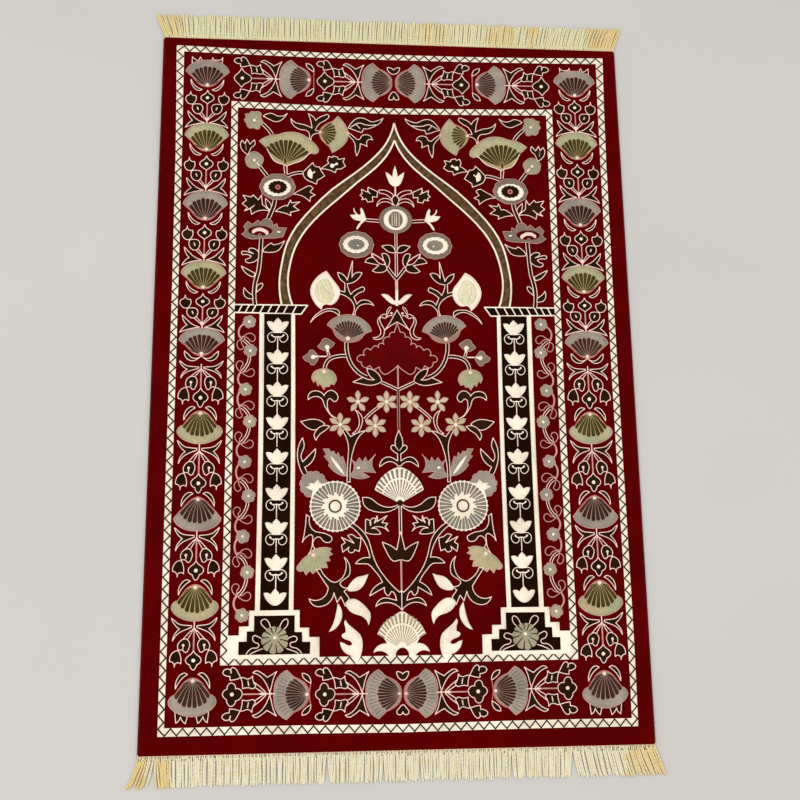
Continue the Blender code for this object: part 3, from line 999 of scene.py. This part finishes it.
def top_yarns(rug, places, names):
    """The yarn of the topmost shape at each place, as its number in names."""
    order = np.argsort(places[:, 0])
    across = places[order, 0]
    yarns = np.zeros(len(places), int)
    for shape, yarn in zip(rug.shapes, rug.yarns):
        ring = np.array(shape)
        low, high = ring.min(axis=0), ring.max(axis=0)
        near = order[np.searchsorted(across, low[0]):np.searchsorted(across, high[0])]
        near = near[(places[near, 1] > low[1]) & (places[near, 1] < high[1])]
        if not len(near):
            continue
        # A place is inside where the ring's sides wind round it.
        x, y = places[near].T[:, :, None]
        x0, y0 = ring.T
        x1, y1 = np.roll(ring, -1, axis=0).T
        side = (x1 - x0) * (y - y0) - (x - x0) * (y1 - y0)
        rising = (y0 <= y) & (y1 > y) & (side > 0)
        falling = (y0 > y) & (y1 <= y) & (side < 0)
        yarns[near[rising.sum(axis=1) != falling.sum(axis=1)]] = names.index(yarn)
    return yarns


def partition(rug):
    """Cuts the rug into triangles and gives each the yarn of the topmost shape."""
    points, outlines = [], []
    for shape in rug.shapes:
        outlines.append(list(range(len(points), len(points) + len(shape))))
        points.extend(shape)
    # A net of points keeps the triangles small, and closer ones shape the edges.
    columns = np.arange(-PILE_HALF_WIDTH + 2.0, 1.0, NET_STEP)
    rows = np.arange(-PILE_HALF_LENGTH + 2.0, PILE_HALF_LENGTH, NET_STEP)
    points.extend((x, y) for x in (*columns, AXIS_COLUMN) for y in rows)
    for y in np.arange(-PILE_HALF_LENGTH + EDGE_REACH, PILE_HALF_LENGTH, EDGE_STEP):
        points += [(-PILE_HALF_WIDTH + EDGE_REACH, y), (-PILE_HALF_WIDTH + EDGE_INSET, y)]
    for x in np.arange(-PILE_HALF_WIDTH + EDGE_REACH, 0, EDGE_STEP):
        for y in (PILE_HALF_LENGTH - EDGE_REACH, PILE_HALF_LENGTH - EDGE_INSET):
            points += [(x, y), (x, -y)]
    flat, _, faces, _, _, _ = delaunay_2d_cdt([Vector(p) for p in points], [], outlines, 1, 1e-4,
                                              True)
    flat = np.array([(p.x, p.y) for p in flat])
    flat[np.abs(flat[:, 0]) < 1e-3, 0] = 0.0
    faces = np.array([face for face in faces if len(face) == 3])
    middles = flat[faces].mean(axis=1)
    kept = (middles[:, 0] < 0) & (middles[:, 0] > -PILE_HALF_WIDTH)
    faces, middles = faces[kept], middles[kept]
    names = sorted(set(rug.yarns))
    yarns = top_yarns(rug, middles, names)
    # The right half mirrors the left one, and both share the points on the axis.
    twin = np.arange(len(flat))
    off_axis = flat[:, 0] < 0
    twin[off_axis] = len(flat) + np.arange(off_axis.sum())
    flat = np.vstack([flat, flat[off_axis] * (-1.0, 1.0)])
    faces = np.vstack([faces, twin[faces][:, ::-1]])
    return as_woven(flat), faces, np.concatenate([yarns, yarns]), names


def pile_height(x, y):
    """The height of the pile's surface: a soft unevenness, lower at the rug's edges."""
    wave = (
        0.13 * np.sin(x / 61.0 + 1.3 + 0.8 * np.sin(y / 97.0))
        + 0.11 * np.sin(y / 47.0 + 0.4 + 0.9 * np.sin(x / 83.0))
        + 0.06 * np.sin((x + y) / 23.0)
    )
    to_edge = np.minimum(PILE_HALF_WIDTH - np.abs(x), PILE_HALF_LENGTH - np.abs(y))
    share = np.clip(1.0 - to_edge / EDGE_REACH, 0.0, 1.0)
    return PILE_TOP + wave - EDGE_DROP * share**2


def layers(places, high, low):
    """The points of a closed piece in metres: its top, then the same places at its foot."""
    heights = (np.broadcast_to(z, len(places)) for z in (high, low))
    return np.vstack([np.column_stack([places, z]) for z in heights]) * MM


def put_in_scene(name, data):
    """A new object with this data in the scene."""
    obj = bpy.data.objects.new(name, data)
    bpy.context.scene.collection.objects.link(obj)
    return obj


def make_mesh(name, points, faces, material, slot, smooth_faces=None):
    """A piece on the body root. All its faces are smooth unless smooth_faces says otherwise."""
    mesh = bpy.data.meshes.new(name)
    mesh.from_pydata([tuple(p) for p in points], [], [tuple(f) for f in faces])
    if smooth_faces is None:
        smooth_faces = np.ones(len(mesh.polygons), bool)
    mesh.polygons.foreach_set("use_smooth", smooth_faces)
    mesh.update()
    mesh.materials.append(material)
    obj = put_in_scene(name, mesh)
    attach(obj, "root")
    return obj


def pile_piece(name, flat, faces, material):
    """A closed piece of pile over these triangles, with upright sides and a flat foot."""
    used, local = np.unique(faces, return_inverse=True)
    tops = local.reshape(faces.shape)
    place, count = flat[used], len(used)
    edges = np.vstack([tops[:, [0, 1]], tops[:, [1, 2]], tops[:, [2, 0]]]).astype(np.int64)
    # A rim edge is one whose reverse is no triangle's edge.
    rim = edges[~np.isin(edges @ (count, 1), edges @ (1, count))]
    walls = np.column_stack([rim[:, 1], rim[:, 0], rim[:, 0] + count, rim[:, 1] + count])
    bottoms = tops[:, ::-1] + count
    all_faces = [*tops, *walls, *bottoms]
    obj = make_mesh(name, layers(place, pile_height(*place.T), PILE_FOOT), all_faces, material,
                    "pile", np.arange(len(all_faces)) < len(tops))
    # A flat map from above for baking.
    mesh = obj.data
    along = place[rim[:, 1]] - place[rim[:, 0]]
    outward = np.column_stack([along[:, 1], -along[:, 0]])
    normal = np.zeros((count, 2))
    np.add.at(normal, rim[:, 0], outward)
    np.add.at(normal, rim[:, 1], outward)
    normal /= np.maximum(np.linalg.norm(normal, axis=1, keepdims=True), 1e-9)
    vertex = np.empty(len(mesh.loops), np.int32)
    mesh.loops.foreach_get("vertex_index", vertex)
    uv = np.vstack([place, place + MAP_STEP * normal])[vertex]
    foot = np.arange(len(vertex)) >= len(vertex) - bottoms.size
    uv[foot] = place[vertex[foot] - count]
    uv = (uv + (RUG_HALF_WIDTH + MAP_MARGIN, RUG_HALF_LENGTH + MAP_MARGIN)) / (
        2.0 * (RUG_HALF_LENGTH + MAP_MARGIN))
    layer = mesh.uv_layers.new(name="OFBake")
    layer.uv.foreach_set("vector", uv.astype(np.float32).ravel())
    return obj


# ---------------------------------------------------------------------------------------
# Materials

def linear(red, green, blue):
    """A colour given as 0 to 255 screen values."""
    def one(value):
        value /= 255.0
        return value / 12.92 if value <= 0.04045 else ((value + 0.055) / 1.055) ** 2.4
    return one(red), one(green), one(blue), 1.0


class Look:
    """A material in the making. Its values are numbers, colours or outputs of its nodes."""

    def __init__(self, name, roughness, specular):
        self.material = bpy.data.materials.new(name)
        self.material.use_nodes = True
        self.tree = self.material.node_tree
        self.shader = self.tree.nodes["Principled BSDF"]
        self.put(self.shader, Roughness=roughness, Specular_IOR_Level=specular)
        self.where = self.node("TexCoord").outputs["Object"]

    def feed(self, socket, value):
        if isinstance(value, bpy.types.NodeSocket):
            self.tree.links.new(value, socket)
        else:
            socket.default_value = value

    def put(self, node, **values):
        for name, value in values.items():
            self.feed(node.inputs[name.replace("_", " ")], value)
        return node

    def node(self, kind, **values):
        return self.put(self.tree.nodes.new("ShaderNode" + kind), **values)

    def math(self, operation, *values):
        made = self.node("Math")
        made.operation = operation
        for socket, value in zip(made.inputs, values):
            self.feed(socket, value)
        return made.outputs[0]

    def times(self, one, two):
        return self.math("MULTIPLY", one, two)

    def plus(self, one, two):
        return self.math("ADD", one, two)

    def along(self, axis):
        return self.node("SeparateXYZ", Vector=self.where).outputs[axis]

    def spread(self, value, low, high, to_low, to_high):
        """The value, moved from the range low to high to the other one."""
        return self.node("MapRange", Value=value, From_Min=low, From_Max=high, To_Min=to_low,
                         To_Max=to_high).outputs["Result"]

    def noise(self, scale, detail=2.0):
        return self.node("TexNoise", Vector=self.where, Scale=scale, Detail=detail).outputs["Fac"]

    def cloud(self, scale, detail, to_low, to_high, low=0.3, high=0.7):
        """Noise between two values."""
        return self.spread(self.noise(scale, detail), low, high, to_low, to_high)

    def mix(self, share, one, two):
        made = self.node("Mix")
        made.data_type = "RGBA"
        return self.put(made, Factor=share, A=one, B=two).outputs["Result"]

    def paint(self, colour, value):
        """Gives the shader this colour, darker or lighter by value."""
        tone = self.node("HueSaturation", Color=colour, Value=value)
        self.put(self.shader, Base_Color=tone.outputs["Color"])

    def bump(self, strength, distance, height):
        made = self.node("Bump", Strength=strength, Distance=distance, Height=height)
        self.put(self.shader, Normal=made.outputs["Normal"])


def plain_material(name, colour, scale, detail, dark, light, roughness=0.9, specular=0.2):
    """One colour in screen values, darker and lighter in patches of this scale."""
    look = Look(name, roughness, specular)
    look.paint(linear(*colour), look.cloud(scale, detail, dark, light))
    return look.material


def pile_material(name, first, second, patches):
    """Cut pile: close knots with painted shade between them, and soft clouds between two tones of one
    yarn.
    """
    look = Look(name, roughness=1.0, specular=0.0)
    knots = look.node("TexVoronoi", Vector=look.where, Scale=780.0, Randomness=0.55)
    distance = knots.outputs["Distance"]
    # Painted shade: the colour darkens between the knots and lightens on their tops.
    knot_shade = look.spread(distance, 0.0, 0.75, 1.07, 0.86)
    wide = look.cloud(19.0, 2.0, 0.9, 1.1)
    fine = look.cloud(230.0, 3.0, 0.93, 1.07)
    patch = look.cloud(patches, 3.0, 0.0, 1.0, 0.4, 0.62)
    look.paint(look.mix(patch, linear(*first), linear(*second)),
               look.times(look.times(knot_shade, wide), fine))
    look.bump(0.5, 0.0007, look.plus(look.times(distance, -1.0),
                                     look.times(look.noise(420.0), 0.7)))
    return look.material


def back_material():
    """The flat woven back: fine ribs across the rug with the pattern's red grounded in them."""
    look = Look("woven_back", roughness=0.9, specular=0.2)
    rows = look.math("SINE", look.times(look.along("Y"), 2600.0))
    ends = look.math("SINE", look.times(look.along("X"), 3100.0))
    weave = look.plus(look.times(rows, 0.6), look.times(look.times(rows, ends), 0.6))
    patch = look.cloud(14.0, 3.0, 0.9, 1.1, 0.35, 0.65)
    # Painted shade: the colour darkens where the weave is low and lightens on its raised ribs.
    look.paint(linear(118, 46, 42), look.times(patch, look.spread(weave, -1.2, 1.2, 0.8, 1.1)))
    look.bump(0.6, 0.0006, weave)
    return look.material


# How far the ochre patches waver sideways, and half the width that their ramp covers.
WOBBLE, RAMP_HALF = 20.0, 450.0


def cotton_material(name, ivory, patches=()):
    """Cotton cord: ivory with fine fibres and ochre patches, given as from x, to x, strength."""
    look = Look(name, roughness=0.85, specular=0.25)
    place = look.plus(look.along("X"), look.times(look.noise(60.0), WOBBLE * MM))
    ramp = look.node("ValToRGB", Fac=look.spread(place, -RAMP_HALF * MM, RAMP_HALF * MM, 0.0, 1.0))
    stops = ramp.color_ramp.elements
    stops[1].color = stops[0].color
    for low, high, strength in patches:
        for x, level in ((low - 6, 0), (low + 4, strength), (high - 4, strength), (high + 6, 0)):
            share = (x + 0.5 * WOBBLE + RAMP_HALF) / (2.0 * RAMP_HALF)
            stops.new(min(0.999, max(0.001, share))).color = (level, level, level, 1)
    streak = look.cloud(130.0, 2.0, 0.0, 0.35, 0.35, 0.65)
    amount = look.math("MINIMUM", look.plus(ramp.outputs["Color"], streak), 1.0)
    look.paint(look.mix(amount, linear(*ivory), linear(222, 197, 134)),
               look.cloud(900.0, 3.0, 0.86, 1.1))
    look.bump(0.4, 0.0004, look.noise(1400.0, 3.0))
    return look.material


# Each yarn: its two tones as screen values, and how fine their patches are.
YARNS = {
    "ground": ((89, 2, 4), (82, 3, 3), 11.0),
    "cream": ((254, 240, 220), (248, 232, 208), 11.0),
    "outline": ((255, 222, 206), (250, 212, 198), 20.0),
    "blush": ((210, 156, 144), (198, 144, 132), 20.0),
    "rose": ((198, 124, 114), (186, 110, 102), 20.0),
    "umber": ((48, 28, 14), (38, 21, 10), 30.0),
    "soot": ((32, 15, 6), (26, 11, 5), 30.0),
    "zigzag": ((24, 22, 14), (34, 30, 20), 30.0),
    "sage": ((186, 171, 134), (168, 167, 132), 24.0),
    "moss": ((168, 156, 128), (154, 150, 126), 24.0),
    "petal": ((208, 190, 160), (194, 180, 148), 24.0),
    "rib_sage": ((180, 163, 120), (166, 150, 108), 24.0),
    "shade_sage": ((68, 54, 26), (80, 66, 36), 30.0),
    "pale_sage": ((224, 218, 177), (230, 224, 188), 30.0),
    "grey": ((165, 152, 138), (146, 135, 123), 18.0),
    "taupe": ((138, 119, 104), (122, 105, 92), 18.0),
    "rib_grey": ((166, 138, 124), (152, 125, 113), 24.0),
    "shade_grey": ((60, 37, 30), (70, 46, 38), 30.0),
    "ash": ((126, 119, 107), (140, 132, 118), 24.0),
    "rust": ((84, 46, 28), (70, 38, 24), 24.0),
    "sepia": ((78, 57, 35), (106, 80, 54), 130.0),
    "ruby": ((96, 6, 8), (82, 8, 8), 40.0),
}
NEAR_IVORY, FAR_IVORY = (226, 222, 198), (221, 219, 184)
NEAR_TAPE, FAR_TAPE = (202, 195, 172), (206, 199, 163)
SEAM = (202, 162, 142)

# Gaps between the strings, as x and width, and ochre patches, as from x, to x and strength.
NEAR_GAPS = ((-377, 9), (-115, 9), (-27, 6), (28, 5), (172, 5), (269, 10))
FAR_GAPS = ((-245, 6),)
NEAR_OCHRE = ((-425, -388, 0.95), (-372, -352, 0.7), (352, 425, 0.6))
FAR_OCHRE = ((-425, -370, 0.6), (50, 95, 0.4), (170, 225, 0.5), (245, 262, 0.5), (352, 425, 0.7))
# The heading's cross cords: distance from the rug's end, radius and height.
HEADING_CORDS = {"seam": (1.8, 1.1, 3.5), "weft": (4.3, 1.2, 2.9), "cord": (7.0, 0.95, 3.1)}


# ---------------------------------------------------------------------------------------
# The pieces

def make_pile():
    flat, faces, yarns, names = partition(draw_pattern())
    pieces = []
    for i, name in enumerate(names):
        material = pile_material("yarn_" + name, *YARNS[name])
        label = "pile_" + ("crimson" if name == "ground" else name)
        pieces.append(pile_piece(label, flat, faces[yarns == i], material))
    return pieces


def make_back():
    """The woven base under the pile: a thin closed slab over the whole rug with cut corners."""
    inset = 20.0
    xs, ys = (np.array([-half, -half + CORNER, *np.linspace(-half + inset, half - inset, count),
                        half - CORNER, half])
              for half, count in ((RUG_HALF_WIDTH, 41), (RUG_HALF_LENGTH, 61)))
    grid = np.array([(x, y) for y in ys for x in xs])
    outermost = (np.abs(grid) == (RUG_HALF_WIDTH, RUG_HALF_LENGTH)).all(axis=1)
    grid[outermost] -= np.sign(grid[outermost]) * CORNER * (1 - math.sqrt(0.5))
    wide, count = len(xs), len(grid)
    number = np.arange(count).reshape(len(ys), wide)
    faces = []
    for a in number[:-1, :-1].flat:
        faces.append((a, a + 1, a + wide + 1, a + wide))
        faces.append((count + a, count + a + wide, count + a + wide + 1, count + a + 1))
    ring = [*number[0], *number[1:, -1], *number[-1, -2::-1], *number[-2:0:-1, 0]]
    for a, b in zip(ring, ring[1:] + ring[:1]):
        faces.append((b, a, count + a, count + b))
    return make_mesh("woven_back", layers(grid, BACK_TOP, 0.0), faces, back_material(), "pile",
                     np.zeros(len(faces), bool))


def tube(points, radii, sides=CORD_SIDES, lobes=0.0, twist=0.0, start=0.0):
    """Points, in metres, and faces of a closed tube. lobes and twist make it look like two plies.

    points and radii are in millimetres, and twist is in radians a metre.
    """
    points, radii = np.asarray(points, float) * MM, np.asarray(radii) * MM
    count = len(points)
    along = np.gradient(points, axis=0)
    along /= np.linalg.norm(along, axis=1, keepdims=True)
    side = np.cross((0.0, 0.0, 1.0), along)
    side /= np.linalg.norm(side, axis=1, keepdims=True)
    up = np.cross(along, side)
    angles = math.tau * np.arange(sides) / sides
    walk = np.concatenate([[0.0], np.cumsum(np.linalg.norm(np.diff(points, axis=0), axis=1))])
    made = []
    for i in range(count):
        radius = radii[i] * (1.0 + lobes * np.cos(2.0 * (angles - (start + twist * walk[i]))))
        made.append(points[i] + np.outer(np.cos(angles) * radius, side[i])
                    + np.outer(np.sin(angles) * radius, up[i]))
    faces = []
    for i in range(count - 1):
        for k in range(sides):
            a, b = i * sides + k, i * sides + (k + 1) % sides
            faces.append((a, b, b + sides, a + sides))
    faces.append(tuple(range(sides - 1, -1, -1)))
    faces.append(tuple(range((count - 1) * sides, count * sides)))
    return np.vstack(made), faces


def join(parts):
    """The points and faces of several closed parts as one mesh."""
    points, faces, base = [], [], 0
    for made, made_faces in parts:
        points.append(made)
        faces.extend(tuple(base + i for i in face) for face in made_faces)
        base += len(made)
    return np.vstack(points), faces


def make_sides():
    """The overcast long sides: yarn wrapped round the edge, one turn every few millimetres."""
    parts = []
    for side in (-1, 1):
        ys = np.linspace(-RUG_HALF_LENGTH + 1.0, RUG_HALF_LENGTH - 1.0, WRAPS * WRAP_STEPS + 1)
        turns = np.arange(len(ys)) / WRAP_STEPS
        radii = WRAP_RADIUS + WRAP_BULGE * np.abs(np.sin(math.pi * turns))
        radii[[0, -1]] = 1.6
        xs = np.full(len(ys), side * (RUG_HALF_WIDTH - 2.3))
        parts.append(tube(np.column_stack([xs, ys, np.full(len(ys), 2.75)]), radii))
    points, faces = join(parts)
    points[:, 2] = np.maximum(points[:, 2], 0.0001)
    yarn = plain_material("overcast_yarn", (88, 6, 10), 260.0, 3.0, 0.75, 1.2)
    return make_mesh("overcast_sides", points, faces, yarn, "pile")


def make_fringe(name, node_name, side, lean, gaps, ivory, patches, seed):
    """Twisted cotton strings from a woven heading. gaps are x, width: strings spread there."""
    draws = random.Random(seed)
    parts = []
    root_y, tape_y = RUG_HALF_LENGTH - 0.4, RUG_HALF_LENGTH + TAPE_DEPTH
    for k in range(STRINGS):
        x = -RUG_HALF_WIDTH + STRING_INSET
        x += 2 * (RUG_HALF_WIDTH - STRING_INSET) * k / (STRINGS - 1)
        x += draws.uniform(-0.5, 0.5)
        tip = x + float(np.interp(x, *zip(*lean))) + draws.uniform(-1.2, 1.2)
        for gap_x, gap_width in gaps:
            off = tip - gap_x
            if abs(off) < GAP_REACH:
                tip += math.copysign(0.5 * gap_width * (1.0 - abs(off) / GAP_REACH), off)
        length = STRING_LENGTH + draws.uniform(-3.5, 1.5)
        sway, phase = draws.uniform(-0.8, 0.8), draws.uniform(0.0, math.tau)
        # Every other string lies on its neighbours.
        layer = 1.15 + 0.9 * (k % 2) + draws.uniform(0.0, 0.3)
        line = []
        for i in range(STRING_RINGS):
            share = i / (STRING_RINGS - 1)
            out = root_y + share * (tape_y + length - root_y)
            away = max(0.0, (out - tape_y + 3.0) / (length + 3.0))
            lift = 2.1 * (1.0 - share) ** 2 + layer * min(1.0, 0.5 + share)
            line.append((
                x + (tip - x) * away**1.15 + sway * math.sin(math.pi * away) * 1.3,
                side * out,
                max(1.05, min(3.2, lift + 0.25 * math.sin(9.0 * share + phase) * away)),
            ))
        radii = STRING_RADIUS * (1.0 + 0.05 * np.sin(np.arange(STRING_RINGS) * 1.7 + phase))
        radii[-2:] *= (0.95, 0.45)
        parts.append(tube(line, radii, lobes=0.24, twist=PLY_TWIST * draws.uniform(0.9, 1.1),
                          start=phase))
    points, faces = join(parts)
    points[:, 2] = np.maximum(points[:, 2], 0.00005)
    cotton = cotton_material(name + "_cotton", ivory, patches)
    strings = make_mesh(name, points, faces, cotton, "fringe_cotton")
    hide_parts(node_name)
    return strings


def make_heading(name, side, ivory, seed):
    """The woven heading between rug and strings: cross cords and dark sewing marks, which also paint
    shade between the strings.
    """
    draws = random.Random(seed)
    half = RUG_HALF_WIDTH - 0.8
    xs = np.linspace(-half, half, HEADING_RINGS)
    made = []
    for label, (out, radius, height) in HEADING_CORDS.items():
        ys = side * (RUG_HALF_LENGTH + out + 0.22 * np.sin(xs * 1.9 + out))
        line = np.column_stack([xs, ys, np.full(len(xs), height)])
        points, faces = tube(line, radius * (1.0 + 0.14 * np.abs(np.sin(xs * 0.9))))
        tone = SEAM if label == "seam" else ivory
        material = cotton_material(f"{name}_{label}_cotton", tone)
        made.append(make_mesh(f"{name}_{label}", points, faces, material, "fringe_cotton"))
    marks = []
    for x in np.arange(-half + 2, half - 1, STITCH_PITCH):
        # How likely a stitch is in the inner and in the outer row.
        inner, outer = 0.12, 0.0
        if side < 0:
            inner, outer = 0.85, 0.55 if abs(x) > 300 else 0.1
        for out, likely in ((4.2, inner), (7.4, outer)):
            if draws.random() < likely:
                at_x, tall = x + draws.uniform(-1.2, 1.2), draws.uniform(1.1, 1.8)
                y = RUG_HALF_LENGTH + out
                bar = [(at_x, side * (y + tall * step), 4.0 - 0.5 * step * step)
                       for step in (-1.0, -0.4, 0.4, 1.0)]
                marks.append(tube(bar, (0.4, 0.7, 0.7, 0.4), 6))
    # Painted shade: the stitch thread is dark, so the marks stand both for the sewing and for the shade
    # in the holes between the strings.
    shade_dark_thread = plain_material(name + "_thread", (56, 48, 30), 300.0, 2.0, 0.6, 1.3, specular=0.5)
    made.append(make_mesh(name + "_stitches", *join(marks), shade_dark_thread, "fringe_cotton"))
    return made


# ---------------------------------------------------------------------------------------
# The room

CAMERA_PLACE = (-0.1297, -0.3820, 1.6374)
CAMERA_FORWARD = (0.08017, 0.20053, -0.97640)
CAMERA_UP = (-0.00361, 0.97961, 0.20089)
LENS, SENSOR_WIDTH, VIEW_END = 45.74, 36.0, 50.0
FLOOR_HALF, FLOOR_Z = 6.0, -0.0002
# Each lamp's name, place, size, power and colour.
LAMPS = (("key", (-1.7, -0.9, 3.2), 2.0, 46.0, (1.0, 0.98, 0.95)),
         ("fill", (1.7, 0.5, 3.0), 2.2, 22.0, (1.0, 0.99, 0.97)))
EVEN_LIGHT, EVEN_STRENGTH = (1.0, 0.99, 0.98, 1.0), 0.80


def make_camera():
    camera = put_in_scene("camera", bpy.data.cameras.new("camera"))
    camera.data.lens, camera.data.sensor_width, camera.data.clip_end = LENS, SENSOR_WIDTH, VIEW_END
    forward = Vector(CAMERA_FORWARD).normalized()
    right = forward.cross(Vector(CAMERA_UP)).normalized()
    turn = Matrix((right, right.cross(forward), -forward)).transposed()
    camera.matrix_world = Matrix.Translation(CAMERA_PLACE) @ turn.to_4x4()
    bpy.context.scene.camera = camera


def make_room():
    """A pale floor, two soft lamps that face the rug, and even light from all round."""
    mesh = bpy.data.meshes.new("floor")
    corners = ((-1, -1), (1, -1), (1, 1), (-1, 1))
    mesh.from_pydata([(x * FLOOR_HALF, y * FLOOR_HALF, FLOOR_Z) for x, y in corners], [],
                     [(0, 1, 2, 3)])
    mesh.materials.append(plain_material("pale_floor", (195, 193, 190), 1.6, 2.0, 0.97, 1.02,
                                         roughness=0.7))
    put_in_scene("floor", mesh)
    for name, place, size, power, colour in LAMPS:
        light = bpy.data.lights.new(name, "AREA")
        light.shape, light.size = "SQUARE", size
        light.energy, light.color = power, colour
        lamp = put_in_scene(name, light)
        lamp.location = place
        lamp.rotation_euler = (-Vector(place)).to_track_quat("-Z", "Y").to_euler()
    world = bpy.data.worlds.new("studio")
    bpy.context.scene.world = world
    world.use_nodes = True
    background = world.node_tree.nodes["Background"]
    background.inputs["Color"].default_value = EVEN_LIGHT
    background.inputs["Strength"].default_value = EVEN_STRENGTH
    settings = bpy.context.scene.view_settings
    settings.view_transform = "Standard"
    settings.look = "None"


def main():
    make_camera()
    make_room()
    pile = make_pile()
    back = make_back()
    sides = make_sides()
    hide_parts("rug_panel")
    near = make_fringe("fringe_strings_near", "fringe_near", -1, NEAR_LEAN, NEAR_GAPS,
                       NEAR_IVORY, NEAR_OCHRE, seed=5)
    far = make_fringe("fringe_strings_far", "fringe_far", 1, FAR_LEAN, FAR_GAPS,
                      FAR_IVORY, FAR_OCHRE, seed=6)
    trim = [sides, near, far]
    trim += make_heading("heading_near", -1, NEAR_TAPE, seed=7)
    trim += make_heading("heading_far", 1, FAR_TAPE, seed=8)


main()
